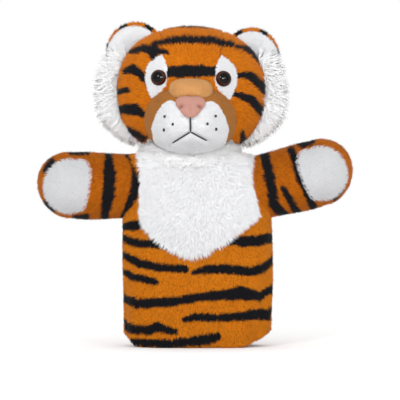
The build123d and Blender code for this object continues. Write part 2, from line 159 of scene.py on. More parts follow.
# %% A thin closed layer
def cells(table):
    """The four corners of each cell of a table, in order."""
    return np.stack([table[:-1, :-1], table[1:, :-1], table[1:, 1:], table[:-1, 1:]], -1).reshape(-1, 4)


def layer(name, shape, columns, rows, thickness, place=in_row, marks=None, keep=None, closed=False):
    """A layer of cloth on a surface of two parameters: the surface, its copy sunk along the normals, and a wall on
    every edge that only one kept face has. With no thickness, it is the bare surface of a solid. closed joins the last
    column to the first."""
    u, v = (a.ravel() for a in np.meshgrid(np.linspace(0, 1, columns + 1), np.linspace(0, 1, rows + 1), indexing="ij"))
    outer = shape(u, v)
    sunk = outer - thickness * unit(np.cross(*slopes(shape, u, v)))
    index = np.arange(u.size).reshape(columns + 1, rows + 1)
    uv_at = cells(index)
    if closed:
        index[-1] = index[0]
    quads = cells(index)
    if keep is not None:
        kept = keep(outer[quads].mean(1))
        quads, uv_at = quads[kept], uv_at[kept]
    sides = np.stack([quads, np.roll(quads, -1, 1)], -1).reshape(-1, 2)
    side_uv = np.stack([uv_at, np.roll(uv_at, -1, 1)], -1).reshape(-1, 2)
    edge = ~np.isin(sides @ [u.size, 1], sides @ [1, u.size])
    a, b = sides[edge].T
    faces, uv_index = quads, uv_at
    if thickness:
        faces = np.concatenate([quads, quads[:, ::-1] + u.size, np.stack([b, a, a + u.size, b + u.size], 1)])
        uv_index = np.concatenate([uv_at, uv_at[:, ::-1], side_uv[edge][:, [1, 0, 0, 1]]])
    used, faces = np.unique(faces, return_inverse=True)
    points = np.concatenate([outer, sunk])[used]
    values = np.zeros((len(points), 3)) if marks is None else marks(points)
    obj = piece(name, points, faces.reshape(-1, 4), np.stack([u, v], 1)[uv_index], values, place)
    close_poles(obj)
    print(name, len(obj.data.polygons), "faces")
    return obj


def close_poles(obj):
    """Joins the points that meet at a pole or a seam, so that the mesh is closed there."""
    mesh = bmesh.new()
    mesh.from_mesh(obj.data)
    bmesh.ops.remove_doubles(mesh, verts=mesh.verts, dist=1e-6)
    bmesh.ops.dissolve_degenerate(mesh, edges=mesh.edges, dist=1e-7)
    mesh.to_mesh(obj.data)
    mesh.free()


# %% A pile of tufts
def scatter(shape, density, rng, columns=90, rows=90):
    """Places on a surface, evenly by area: a cell is drawn by its share of the area, then anywhere in it."""
    u, v = np.meshgrid(np.linspace(0, 1, columns + 1), np.linspace(0, 1, rows + 1), indexing="ij")
    corners = shape(u.ravel(), v.ravel())[cells(np.arange(u.size).reshape(u.shape))]
    area = np.linalg.norm(np.cross(corners[:, 2] - corners[:, 0], corners[:, 3] - corners[:, 1]), axis=1) / 2
    count = int(area.sum() * density)
    i, j = np.divmod(rng.choice(area.size, count, p=area / area.sum()), rows)
    return (i + rng.random(count)) / columns, (j + rng.random(count)) / rows


def pile(name, shape, density, length, lean, comb, place=in_row, width=0.55, segments=1, ruffle=0.25,
         stripes=None, keep=None, seed=1, spread=(1.0, 1.0, 1.0)):
    """Tufts on a surface, density of them to a square millimetre. lean gives the angles from the surface's normal at
    the foot and at the tip, in degrees, and comb the direction that the pile is brushed in. A tuft is rings of three
    points that shrink to a tip, and its dye is that of the drawing under its middle. Light passes through long thin
    fur, so spread may stretch its shading normals along an axis, the same way in front and behind."""
    rng = np.random.default_rng(seed)
    u, v = scatter(shape, density, rng)
    foot = shape(u, v)
    if keep is not None:
        kept = keep(foot)
        u, v, foot = u[kept], v[kept], foot[kept]
    along_u, along_v = slopes(shape, u, v)
    normal = unit(np.cross(along_u, along_v))
    count = len(foot)
    lay = comb(foot) + rng.normal(0, ruffle, (count, 3))
    lay = unit(lay - (lay * normal).sum(1, keepdims=True) * normal)
    side = np.cross(normal, lay)
    size = length(foot) if callable(length) else np.full(count, float(length))
    size = (size * rng.uniform(0.75, 1.2, count))[:, None]
    thick = (width * rng.uniform(0.8, 1.25, count))[:, None]
    first = rng.uniform(0, 2 * math.pi, count)[:, None]
    tilt = rng.normal(0, 6, count)[:, None]
    centre, points, soft, heights = foot - 0.5 * normal, [], [], []
    for ring in range(segments):
        share = ring / segments
        angle = np.radians(lean[0] + (lean[1] - lean[0]) * (ring + 0.5) / segments + tilt)
        outward, across = np.cos(angle), np.sin(angle)
        rise, level = outward * normal + across * lay, outward * lay - across * normal
        for corner in range(3):
            turn = first + corner * 2 * math.pi / 3
            spoke = np.cos(turn) * level + np.sin(turn) * side
            points.append(centre + thick * (1 - share) ** 0.5 * spoke)
            soft.append(unit(normal * spread + 0.35 * spoke))
            heights.append(share)
        centre = centre + size / segments * rise
    points.append(centre)
    soft.append(unit(normal * spread + 0.25 * lay))
    heights.append(1.0)
    per = len(points)
    template = [(0, 2, 1)]
    for ring in range(segments - 1):
        a = 3 * ring
        for k in range(3):
            n = (k + 1) % 3
            template += [(a + k, a + n, a + n + 3), (a + k, a + n + 3, a + k + 3)]
    top = 3 * (segments - 1)
    template += [(top + k, top + (k + 1) % 3, per - 1) for k in range(3)]
    faces = (np.arange(count)[:, None, None] * per + np.array(template)).reshape(-1, 3)
    cloud = np.stack(points, 1)
    reach = cloud - foot[:, None]
    uv = np.stack([
        u[:, None] + (reach * along_u[:, None]).sum(2) / (along_u**2).sum(1)[:, None],
        v[:, None] + (reach * along_v[:, None]).sum(2) / (along_v**2).sum(1)[:, None],
    ], -1).clip(0, 1).reshape(-1, 2)
    middle = foot + 0.6 * size * math.sin(math.radians(sum(lean) / 2)) * lay
    dark = np.zeros(count) if stripes is None else stripes(middle + rng.normal(0, 0.4, (count, 3)))
    marks = np.stack(np.broadcast_arrays(dark[:, None], rng.random(count)[:, None], np.array(heights)), -1)
    points, marks, soft = (a.reshape(-1, 3) for a in (cloud, marks, np.stack(soft, 1)))
    obj = piece(name, points, faces, uv[faces], marks, place, soft)
    print(name, count, "tufts", len(faces), "triangles")
    return obj


# %% [markdown]
# ## Materials
# Plush is knitted polyester with a cut pile. Its fibres are dull across and a little shiny along, so the shader is
# rough with a low sheen. The tufts' feet are painted darker than their tips as painted shade inside the pile, and dyed
# stripes are printed through the pile. The head's and the arms' copies of the plush are painted a little darker than
# the body's, as painted shade.

# %% Colours and nodes
def linear(hex_colour):
    """Turns an sRGB hex colour into the linear numbers that shaders take."""
    values = [int(hex_colour[i:i + 2], 16) / 255 for i in (1, 3, 5)]
    return [c / 12.92 if c <= 0.04045 else ((c + 0.055) / 1.055) ** 2.4 for c in values] + [1.0]


def add_node(tree, kind, values=(), links=(), **settings):
    """Adds a node, sets its properties, its inputs' values and the links into its inputs."""
    node = tree.nodes.new(kind)
    for key, value in settings.items():
        setattr(node, key, value)
    for key, value in dict(values).items():
        node.inputs[key].default_value = value
    for key, output in dict(links).items():
        tree.links.new(output, node.inputs[key])
    return node


def new_material(name):
    """An empty material and its node tree."""
    material = bpy.data.materials.new(name)
    material.use_nodes = True
    material.node_tree.nodes.clear()
    return material, material.node_tree


def finish_material(tree, colour, bump, values):
    """Ends a tree in one Principled shader with the numbers that are the same all over."""
    shader = add_node(tree, "ShaderNodeBsdfPrincipled", values, {"Base Color": colour, "Normal": bump})
    add_node(tree, "ShaderNodeOutputMaterial", links={"Surface": shader.outputs[0]})


def mixed(tree, factor, a, b, blend="MIX"):
    """A colour between two, each a socket or a hex colour."""
    node = add_node(tree, "ShaderNodeMix", data_type="RGBA", blend_type=blend)
    for socket, value in ((node.inputs[0], factor), (node.inputs[6], a), (node.inputs[7], b)):
        if isinstance(value, str):
            socket.default_value = linear(value)
        elif isinstance(value, (int, float)):
            socket.default_value = value
        else:
            tree.links.new(value, socket)
    return node.outputs[2]


def object_place(tree):
    """Where a point is on the piece itself, so a pattern stays with the piece when it moves."""
    return add_node(tree, "ShaderNodeTexCoord").outputs["Object"]


def noise(tree, place, millimetres, detail=2.0):
    """Cloudy noise whose patches are about so many millimetres across."""
    scale = {"Scale": 1000 / millimetres, "Detail": detail}
    return add_node(tree, "ShaderNodeTexNoise", scale, {"Vector": place}).outputs[0]


def bumped(tree, height, strength, metres):
    """Normals tilted by a height, no deeper than some metres."""
    return add_node(tree, "ShaderNodeBump", {"Strength": strength, "Distance": metres}, {"Height": height}).outputs[0]


# %% Plush
def plush(name, light, deep, stripe="#15161A", root=0.6, sheen=0.05, mottle=9.0):
    """Knitted polyester plush. Tufts differ between a light and a deep shade, patches of mottle millimetres differ
    too, as brushed pile does, and the feet of the tufts are darker by root, as painted shade inside the pile."""
    material, tree = new_material(name)
    marks = add_node(tree, "ShaderNodeAttribute", attribute_name="pile")
    parts = add_node(tree, "ShaderNodeSeparateXYZ", links={0: marks.outputs["Vector"]}).outputs
    place = object_place(tree)
    patches = noise(tree, place, mottle, 3.0)
    tint = add_node(tree, "ShaderNodeMath", {2: 0.2}, {0: parts[1], 1: patches}, operation="MULTIPLY_ADD")
    body = mixed(tree, tint.outputs[0], light, deep)
    dyed = mixed(tree, parts[0], body, stripe)
    # Painted shade: the colour is darkened by root towards the feet of the tufts and on the backing under them.
    shade = {"From Max": 0.55, "To Min": 1 - root, "To Max": 1.0}
    foot = add_node(tree, "ShaderNodeMapRange", shade, {"Value": parts[2]})
    shaded = add_node(tree, "ShaderNodeVectorMath", links={0: dyed, 1: foot.outputs[0]}, operation="MULTIPLY")
    finish_material(tree, shaded.outputs[0], bumped(tree, noise(tree, place, 0.9), 0.35, 0.0006), {
        "Roughness": 0.85, "Specular IOR Level": 0.12, "Sheen Weight": sheen, "Sheen Roughness": 0.5,
    })
    return material


# root sets how much painted shade darkens the feet of the tufts.
orange_plush = plush("orange striped plush", "#F6981A", "#C66600")
# The head's and the arms' copies of the orange plush are painted a little darker than the body's, as painted shade.
head_plush_painted_darker = plush("orange striped plush of the head", "#EC8A0C", "#BC5C00")
arm_plush_painted_darker = plush("orange striped plush of the arms", "#D87A08", "#A44C00")
white_plush = plush("white combed plush", "#F1F1F2", "#E4E5E7", root=0.0)
white_fur = plush("white long fur", "#FFFFFF", "#FEFEFE", root=0.0, sheen=0.4)
white_velour = plush("white short velour", "#F0F0F1", "#DEDFE2", root=0.15, sheen=0.1)
tan_velour = plush("tan short velour", "#BC7C3A", "#9C6024", root=0.25)
bridge_velour = plush("light tan short velour", "#DFA76C", "#C88D52", root=0.2)
nose_velour = plush("pink velour", "#B48679", "#A27568", stripe="#7E4840", root=0.0, sheen=0.0)


# %% [markdown]
# The lining is plain woven polyester. Its threads are a quarter of a millimetre apart, too fine to show, so the weave
# is drawn at twice that. The stuffing is loose white fibre, the thread is black embroidery cotton, and the washers
# behind the eyes are moulded plastic. Safety eyes are glossy cast plastic: a black pupil under a dark brown rim.

# %% Lining, stuffing, thread and plastics
def woven(name, colour, shade, spacing=0.5):
    """Plain weave: two sets of waves at right angles, thread spacing in millimetres, one over the other in turn."""
    material, tree = new_material(name)
    place = object_place(tree)
    waves = [
        add_node(tree, "ShaderNodeTexWave", {"Scale": 1000 / spacing / 6.3, "Distortion": 0.6, "Detail": 1.0},
                 {"Vector": place}, bands_direction=axis).outputs[0]
        for axis in ("DIAGONAL", "Z")
    ]
    height = add_node(tree, "ShaderNodeMath", links={0: waves[0], 1: waves[1]}, operation="MULTIPLY")
    fade = mixed(tree, noise(tree, place, 25, 3.0), colour, shade)
    finish_material(tree, fade, bumped(tree, height.outputs[0], 0.5, 0.0002),
                    {"Roughness": 0.7, "Specular IOR Level": 0.3, "Sheen Weight": 0.1})
    return material


def moulded(name, colour, shade, roughness, coat=0.0, grain=0.8):
    """Moulded or spun material: a colour that drifts a little, and a fine grain in millimetres."""
    material, tree = new_material(name)
    place = object_place(tree)
    drift = mixed(tree, noise(tree, place, 6, 4.0), colour, shade)
    finish_material(tree, drift, bumped(tree, noise(tree, place, grain), 0.2, 0.0001),
                    {"Roughness": roughness, "Coat Weight": coat, "Coat Roughness": 0.05})
    return material


def eye_plastic():
    """Cast plastic eye. The pile mark's first number is 1 in the pupil and 0 in the rim, with a sharp edge between."""
    material, tree = new_material("glossy brown and black eye plastic")
    marks = add_node(tree, "ShaderNodeAttribute", attribute_name="pile")
    parts = add_node(tree, "ShaderNodeSeparateXYZ", links={0: marks.outputs["Vector"]}).outputs
    place = object_place(tree)
    rim = mixed(tree, noise(tree, place, 3), "#4A281C", "#2C140D")
    finish_material(tree, mixed(tree, parts[0], rim, "#050404"), bumped(tree, noise(tree, place, 2), 0.02, 0.0001),
                    {"Roughness": 0.06, "IOR": 1.5, "Specular IOR Level": 0.15})
    return material


lining_cloth = woven("woven polyester lining", "#DAD6CE", "#C9C4BA")
stuffing = moulded("loose polyester fibre", "#F2F1EE", "#DDDCD8", 0.95, grain=1.5)
thread = moulded("black embroidery thread", "#1A1A1E", "#0C0C10", 0.6, grain=0.5)
washer_plastic = moulded("natural moulded polyethylene", "#EFEDE6", "#E2DFD6", 0.45)
eye_gloss = eye_plastic()


# %% [markdown]
# ## Stripes
# A stripe is a soft-edged band along a few points, each with its own half width, drawn on the cloth seen from the
# front. The edge wavers by about a millimetre, as dye in a pile does.

# %% Stripe drawing
def waver(x, z):
    """A slow wander made of three sine waves, about one either way."""
    return (np.sin(0.55 * x + 0.31 * z) + np.sin(0.83 * z - 0.47 * x + 2) + np.sin(1.3 * x + 1.1 * z + 4)) / 2


def depth_in(x, z, bands):
    """How far inside the nearest band a point is: the half width of the band there, less the distance to its line."""
    deepest = np.full(x.shape, -99.0)
    for band in bands:
        for (xa, za, wa), (xb, zb, wb) in zip(band, band[1:]):
            run = (xb - xa) ** 2 + (zb - za) ** 2
            t = np.clip(((x - xa) * (xb - xa) + (z - za) * (zb - za)) / run, 0, 1)
            gap = np.hypot(x - xa - t * (xb - xa), z - za - t * (zb - za))
            deepest = np.maximum(deepest, wa + t * (wb - wa) - gap)
    return deepest


def banded(x, z, bands, edge=0.9, bold=0.8):
    """1 inside a band grown by bold millimetres, 0 outside, with a soft and wavering edge."""
    return np.clip((depth_in(x, z, bands) + bold + 0.4 * waver(x, z)) / edge + 0.5, 0, 1)


def smooth(at, knots, values):
    """A smooth curve through a few values: each stretch is a cubic whose slopes are those of the neighbouring knots."""
    knots, values = np.array(knots, float), np.array(values, float)
    slope = np.gradient(values, knots)
    at = np.clip(at, knots[0], knots[-1])
    i = np.clip(np.searchsorted(knots, at) - 1, 0, len(knots) - 2)
    width = knots[i + 1] - knots[i]
    t = (at - knots[i]) / width
    return ((1 + 2 * t) * (1 - t) ** 2 * values[i] + t**2 * (3 - 2 * t) * values[i + 1]
            + width * t * (1 - t) * ((1 - t) * slope[i] - t * slope[i + 1]))


# %% [markdown]
# ## The sleeve
# The sleeve is an oval tube that closes in at the shoulders. Its hem lifts towards the side seams, because the sleeve
# is worn open and the sides are pulled up by the hand. Two soft folds run down from each shoulder.

# %% Sleeve surface
SQUARENESS = 2.25
SEAM_REACH = 61
ARMHOLE_RADIUS = 19


def hem_height(x):
    """The hem is level in the middle and curves up to each side seam, more gently on the puppet's left."""
    return 11 * np.clip((x - 24) / 37, 0, 1) ** 2 + 9 * np.clip((-x - 46) / 15, 0, 1) ** 2.2 + 0.4 * np.sin(x / 9)


def sleeve_width(z):
    """Half the sleeve's width at a height."""
    heights = [0, 20, 50, 104, 128, 141, 149, 153, sleeve_top + 1]
    return smooth(z, heights, [56.5, 57.6, 58, 58.3, 57.5, 56, 52.5, 47, 38])


def sleeve_depth(z):
    """Half the sleeve's depth at a height."""
    return smooth(z, [0, 20, 50, 104, 130, 145, sleeve_top + 1], [29, 31.5, 32.5, 32.5, 30.5, 28.5, 25.5])


def sleeve_middle(z):
    """The sleeve's middle is a little to the puppet's left, and its top moves over to the neck."""
    return 1.0 + (neck[0] - 1.0) * np.clip((z - 115) / 38, 0, 1) ** 2


def sleeve_at(angle, z):
    """A point of the sleeve: a slightly squared oval, pushed in and out by folds."""
    cos, sin = np.cos(angle), np.sin(angle)
    reach = (np.abs(cos) ** SQUARENESS + np.abs(sin) ** SQUARENESS) ** (-1 / SQUARENESS)
    fold = (0.9 * np.sin(5 * angle + z / 26) + 0.9 * np.sin(11 * angle - z / 17)) * np.clip(1.2 - z / 150, 0, 1)
    x = (sleeve_width(z) + fold) * reach * cos + sleeve_middle(z)
    return np.stack([x, (sleeve_depth(z) + fold) * reach * sin, z], 1)


def sleeve_half(first):
    """Half of the sleeve's surface, a quarter turn either side of front or back, from hem to neck."""
    def shape(u, v):
        angle = first + math.pi * u
        low = hem_height(SEAM_REACH * np.cos(angle))
        tuck = np.clip(1 - v / 0.02, 0, 1) ** 2
        z = low + (sleeve_top - low) * v
        points = sleeve_at(angle, z)
        points[:, :2] *= 1 - 0.045 * tuck[:, None]
        return points
    return shape


front_half, back_half = sleeve_half(math.pi), sleeve_half(0.0)


def off_armholes(points):
    """True outside the two holes that the arms join at."""
    gap = np.ones(len(points), bool)
    for side in HANDS:
        centre = arm_place(side)(np.zeros((1, 3)))[0]
        near = np.hypot(points[:, 1], points[:, 2] - centre[2]) < ARMHOLE_RADIUS
        gap &= ~(near & (np.sign(centre[0]) * points[:, 0] > 40))
    return gap


# %% [markdown]
# The front's stripes are listed one by one, and the back has stripes of the same kind. Both panels meet in the side
# seams.

# %% Sleeve stripes
FRONT_BANDS = [
    [(-62, 95, 1.5), (-50, 97, 3.2), (-40, 98, 2.6)],
    [(-62, 89, 2), (-48, 83, 2.6), (-36, 82.5, 2.6), (-21, 79.5, 0.6)],
    [(-62, 76, 1.6), (-46, 67, 2.8), (-30, 63.5, 2.6), (-9, 62.5, 2.4)],
    [(-62, 61.5, 1.5), (-48, 55.5, 2.4), (-32, 52, 2)],
    [(-62, 40, 2), (-46, 34.5, 3.4), (-20, 36, 3), (3, 40, 2.8), (20, 41.5, 3.4), (36, 43, 5), (50, 40, 2.8),
     (62, 47, 2)],
    [(-9, 22, 1.4), (0, 24, 2.6), (18, 23.5, 2.4), (38, 24.5, 2.8), (50, 26, 4), (56, 24, 3.2), (62, 31, 1.5)],
    [(-62, 21, 2), (-52, 14, 3.2), (-38, 13, 2.8), (-31, 16, 3.2), (-17, 12, 1.8)],
    [(25, 84, 1), (36, 84.5, 3.8), (48, 84.5, 3.6), (62, 88, 3.2)],
    [(-2, 60, 1.2), (8, 62, 2.8), (24, 62.5, 3.2), (44, 60, 3), (54, 63.5, 2.8), (62, 71, 1.4)],
    [(-50, 4, 2), (-20, 2.5, 2.6), (8, 6, 3.6), (16, 8, 3.2)],
]
BACK_BANDS = [
    [(-62, 118, 2), (-30, 122, 3), (0, 119, 2.6), (34, 123, 3), (62, 118, 2)],
    [(-62, 96, 2), (-38, 100, 3.2), (-8, 97, 1.4)],
    [(62, 88, 3), (40, 95, 3.4), (12, 91, 2.6), (2, 93, 1)],
    [(-62, 77, 2), (-34, 72, 3), (-4, 75, 3.4), (24, 70, 2)],
    [(62, 71, 2), (46, 62, 3), (30, 58, 1.2)],
    [(-62, 60, 2), (-42, 53, 3), (-16, 56, 2.8), (0, 52, 1)],
    [(62, 46, 2.6), (38, 38, 3.4), (8, 42, 3), (-24, 36, 3.4), (-62, 40, 2)],
    [(62, 31, 2), (40, 20, 3), (14, 24, 1.4)],
    [(-62, 21, 2), (-36, 15, 3), (-8, 20, 3), (6, 16, 1)],
    [(-26, 142, 2), (0, 140, 3), (20, 143, 1.6)],
]


def sleeve_stripes(points):
    """Front stripes on the front half and back stripes on the back half."""
    x, y, z = points.T
    return np.where(y < 0, banded(x, z, FRONT_BANDS), banded(x, z, BACK_BANDS))


def cloth_marks(stripes, painted_shade_height=0.3):
    """Marks for a backing: its stripes, a middling tint, and a height that gives it painted shade, as under the pile.
    """
    def marks(points):
        return np.stack([stripes(points), np.full(len(points), 0.5), np.full(len(points), painted_shade_height)], 1)
    return marks


def plain(points):
    """No stripes."""
    return np.zeros(len(points))


# %% [markdown]
# The bib is cut to a shield shape: straight sides under the arms, and two curved edges that meet in a point below.

# %% Bib outline
BIB_POINT = 76.0


def bib_sides(z):
    """The left and right edges of the bib at a height."""
    knots = [BIB_POINT, 79, 84, 91, 99, 106, 118, 135, sleeve_top]
    right_hand = smooth(z, knots, [-3, -12, -21, -31, -38.5, -42, -42.5, -42, -44])
    left_hand = smooth(z, knots, [-3, 5, 15, 26, 37, 46.5, 46, 42, 42])
    reach = 0.95 * sleeve_width(z)
    return np.maximum(right_hand, neck[0] - reach), np.minimum(left_hand, reach)


def in_bib(points, spare=0.0):
    """True inside the bib's outline on the front, drawn in by some spare millimetres."""
    x, y, z = points.T
    low, high = bib_sides(z)
    return (y < 0) & (z > BIB_POINT + spare) & (x > low + spare) & (x < high - spare)


def bib_surface(u, v):
    """The bib lies half a millimetre over the front: across from edge to edge, and up from the point."""
    z = BIB_POINT + (sleeve_top - 0.5 - BIB_POINT) * v
    low, high = bib_sides(z)
    x = low + (high - low) * u
    across = np.clip((x - sleeve_middle(z)) / sleeve_width(z), -0.98, 0.98)
    y = -sleeve_depth(z) * (1 - np.abs(across) ** SQUARENESS) ** (1 / SQUARENESS) - 0.9
    return np.stack([x, y, z], 1)


# %% Dress a piece: hide the parts it replaces, ride on a body, and take a material in its slot
def dress(obj, material, body, replaced=()):
    """Gives a finished piece its material and the body it rides on. body is a name; for two bodies with two points in
    millimetres, the bodies and the points are not used, and the piece stays where it is, on no body."""
    obj.data.materials.clear()
    obj.data.materials.append(material)
    if isinstance(body, str):
        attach(obj, body)
    else:
        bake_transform(obj)
    if replaced:
        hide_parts(*replaced)
    return obj


def downward(points):
    """Brushed straight down."""
    return np.tile([0.0, 0.0, -1.0], (len(points), 1))


def bib_lay(points):
    """Brushed down and a little outwards, but up and outwards along the top edge."""
    rise = np.clip((points[:, 2] - 143) / 10, 0, 1)
    return np.stack([0.02 * points[:, 0], -0.1 * rise, 1.6 * rise - 1], 1)


def bib_length(points):
    """Six and a half millimetres, and three more at the point."""
    return 6.5 + 3 * np.clip((112 - points[:, 2]) / 30, 0, 1)


# %% Sleeve pieces
PANEL = {"columns": 110, "rows": 90, "thickness": 1.6}
front = layer("body_front_backing", front_half, marks=cloth_marks(sleeve_stripes),
              keep=lambda p: off_armholes(p) & ~in_bib(p, 4.0), **PANEL)
dress(front, orange_plush, "torso", ["body_front"])
back = layer("body_back_backing", back_half, marks=cloth_marks(sleeve_stripes), keep=off_armholes, **PANEL)
dress(back, orange_plush, "torso", ["body_back"])
bib = layer("bib_backing", bib_surface, 70, 70, 1.6, marks=cloth_marks(plain, 0.6), keep=off_armholes)
dress(bib, white_plush, "torso", ["bib"])
front_pile = pile("body_front_pile", front_half, 2.8, 3.6, (25, 55), downward, stripes=sleeve_stripes,
                  keep=lambda p: off_armholes(p) & ~in_bib(p, 1.0), seed=11)
dress(front_pile, orange_plush, "torso")
back_pile = pile("body_back_pile", back_half, 1.9, 3.8, (25, 55), downward, stripes=sleeve_stripes,
                 keep=off_armholes, seed=12)
dress(back_pile, orange_plush, "torso")
bib_pile = pile("bib_pile", bib_surface, 3.1, bib_length, (45, 78), bib_lay, width=0.6, segments=2, ruffle=0.18,
                keep=off_armholes, seed=13)
dress(bib_pile, white_plush, "torso")


# %% [markdown]
# ## Arms
# An arm is a padded tube that ends in a round paw. The cloth bends twice: from the sleeve to the shoulder's ring as
# the arm goes up, and from the ring to the arm as it comes forward. So the tube is two pieces that meet at the ring;
# both are built at rest and ride on no body.

# %% Arm surface
ARM_ROOT, ARM_RING, ARM_FREE, PAW_CENTRE, ARM_TIP = -13.0, 3.0, 22.0, 46.0, 70.5
PAW_GIRTH = 36


def arm_at(x, angle, radius):
    """A point of the arm: a tube a little flatter than it is high, that bends up towards the tip."""
    return np.stack([x, -0.94 * radius * np.sin(angle), radius * np.cos(angle) + 0.001 * np.maximum(x - 20, 0) ** 2], 1)


def arm_radius(x):
    """The tube is narrowest at the shoulder and fullest before the paw."""
    return smooth(x, [ARM_ROOT, ARM_RING, 18, 32, PAW_CENTRE], [23, 23.8, 24.6, 25.2, 24.6])


def shoulder_surface(u, v):
    """The tube from inside the sleeve to the shoulder's ring."""
    x = ARM_ROOT + (ARM_RING - ARM_ROOT) * v
    return arm_at(x, 2 * math.pi * u, arm_radius(x))


def arm_surface(u, v):
    """The tube from the shoulder's ring out, then half an egg to the tip of the paw."""
    tube = (PAW_CENTRE - ARM_RING) / (PAW_CENTRE - ARM_RING + PAW_GIRTH)
    turn = np.clip((v - tube) / (1 - tube), 0, 1) * math.pi / 2
    paw = PAW_CENTRE + (ARM_TIP - PAW_CENTRE) * np.sin(turn)
    x = np.where(v < tube, ARM_RING + (PAW_CENTRE - ARM_RING) * v / tube, paw)
    radius = np.where(v < tube, arm_radius(x), arm_radius(PAW_CENTRE) * np.cos(turn))
    return arm_at(x, 2 * math.pi * u, radius)


def in_pad(points, spare=0.0):
    """True on the palm inside the pad's outline: a flat side towards the shoulder and a round one towards the tip."""
    x, y, z = points.T
    near, far = (PAW_CENTRE - x - 0.12 * z) / (18.0 - spare), (x - PAW_CENTRE) / (19.5 - spare)
    across = np.abs(z) / (21 - spare)
    return (y < 0) & np.where(x < PAW_CENTRE, np.abs(near) ** 4 + across**4 < 1, far**2 + across**2 < 1)


ARM_BANDS = {
    "right": [
        [(15, 27, 2), (13.6, 9, 4.2), (14.4, -7, 4.4), (19, -27, 2)],
        [(-2, 26, 3.4), (-9, 14, 3.6), (-6.4, -7, 3.2), (4, -28, 2)],
        [(33, 27, 3), (44, 27, 3)], [(60, 18, 2.6), (64, 12, 2)],
        [(60, -18, 2.4), (63, -13, 2)], [(33, -24, 2.4), (42, -25, 2)],
    ],
    "left": [
        [(5, 27, 3.2), (5, 4, 3.6), (3, -15, 3.4), (12, -28, 2)],
        [(13, -5, 1.6), (21, -27, 2.6)],
        [(27, 22, 2.4), (28, 0, 2.4), (32, -14, 2.8), (34, -27, 2.4)],
        [(36, 25, 2.8), (45, 26, 2.6)], [(52, -20, 2), (57, -15, 2.4)],
    ],
}


def outward(points):
    """Brushed towards the paw and a little down."""
    return np.tile([0.8, 0.0, -0.5], (len(points), 1))


# %% Arm pieces
for side in HANDS:
    place = arm_place(side)
    marks = lambda points, bands=ARM_BANDS[side]: banded(points[:, 0], points[:, 2], bands)
    ends = [place(np.array([[x, 0.0, 0.0]]))[0] for x in (ARM_ROOT, ARM_RING, ARM_FREE)]
    at_shoulder = ("torso", f"shoulder_{side}", ends[0], ends[1])
    along_arm = (f"shoulder_{side}", f"arm_{side}", ends[1], ends[2])
    root = layer(f"shoulder_{side}_backing", shoulder_surface, 72, 8, 1.4, place, cloth_marks(marks), closed=True)
    dress(root, arm_plush_painted_darker, at_shoulder, [f"shoulder_{side}_gusset"])
    sleeve = layer(f"arm_{side}_backing", arm_surface, 72, 48, 1.4, place, cloth_marks(marks), closed=True,
                   keep=lambda p: ~in_pad(p, 3.0))
    dress(sleeve, arm_plush_painted_darker, along_arm, [f"arm_{side}_sleeve"])
    pad = layer(f"paw_{side}_pad_backing", arm_surface, 144, 110, 1.2, place, cloth_marks(plain, 0.6), closed=True,
                keep=in_pad)
    dress(pad, white_velour, f"arm_{side}", [f"paw_{side}_pad"])
    root_pile = pile(f"shoulder_{side}_pile", shoulder_surface, 2.0, 4.5, (40, 62), outward, place, stripes=marks,
                     seed=21)
    dress(root_pile, arm_plush_painted_darker, at_shoulder)
    arm_pile = pile(f"arm_{side}_pile", arm_surface, 2.0, 4.5, (40, 62), outward, place, stripes=marks,
                    keep=lambda p: ~in_pad(p, 0.6), seed=22)
    dress(arm_pile, arm_plush_painted_darker, along_arm)
    pad_pile = pile(f"paw_{side}_pad_pile", arm_surface, 2.6, 4.0, (25, 50), outward, place, keep=in_pad, seed=23)
    dress(pad_pile, white_velour, f"arm_{side}")


# %% [markdown]
# ## Head
# The head is a stuffed ball, a little squarer than an egg, with full cheeks. Its panels meet in seams: two from the
# brows up over the crown, one from ear to ear, and the face's edge down each side.

# %% Head surface
HEAD_CENTRE = np.array([0.0, 0.0, 55.0])
HEAD_HALF = np.array([58.0, 44.0, 49.5])
BACK_SEAM = 6.0
BROW_SEAM = 22.0


def brow_edge(z):
    """How far from the middle the forehead's two seams run: straight up from the eye patches, then apart."""
    return BROW_SEAM + 0.15 * np.clip(z - 80, 0, 20)


def fullness(up):
    """How much wider than an egg the head is at a height: most at the cheeks, half as much at the crown."""
    return np.where(up > 0, 0.14, 0.30) * up**2


def head_radius(way):
    """How far out the head's cloth lies in a direction: an egg, widened above and below its middle, and drawn in along
    the seams."""
    fuller = 1 + fullness(way[:, 2])
    points = HEAD_CENTRE + HEAD_HALF * way * np.stack([fuller, np.ones(len(way)), np.ones(len(way))], 1)
    x, y, z = points.T
    edge = np.exp(-((y - BACK_SEAM) / 1.8) ** 2)
    brow = np.exp(-((np.abs(x) - brow_edge(z)) / 1.4) ** 2) * (z > 79) * (y < BACK_SEAM)
    return points - 1.3 * np.maximum(edge, brow)[:, None] * way


def head_surface(u, v):
    """The head round an upright axis: u once round, v from the chin to the crown."""
    angle, rise = 2 * math.pi * u, math.pi * v
    way = np.stack([np.sin(rise) * np.sin(angle), -np.sin(rise) * np.cos(angle), -np.cos(rise)], 1)
    return head_radius(way)


def face_point(x, z):
    """The point of the face at a place across and up."""
    up = (z - HEAD_CENTRE[2]) / HEAD_HALF[2]
    across = x / HEAD_HALF[0] / (1 + fullness(up))
    return np.array([x, HEAD_CENTRE[1] - HEAD_HALF[1] * math.sqrt(1 - up**2 - across**2), z])


def inside(points, centre, half, grown=0.0):
    """True inside an egg of that centre and half sizes, grown by some millimetres."""
    return (((points - centre) / (np.array(half) + grown)) ** 2).sum(1) < 1


MUZZLE_CENTRE, MUZZLE_HALF = np.array([0.0, -34.0, 30.0]), np.array([36.0, 34.0, 23.0])
BRIDGE_CENTRE, BRIDGE_HALF = np.array([0.0, -46.0, 51.0]), np.array([17.5, 18.0, 11.5])
EYE_SPREAD, EYE_HEIGHT, EYE_RADIUS = 25.6, 62.5, 6.2


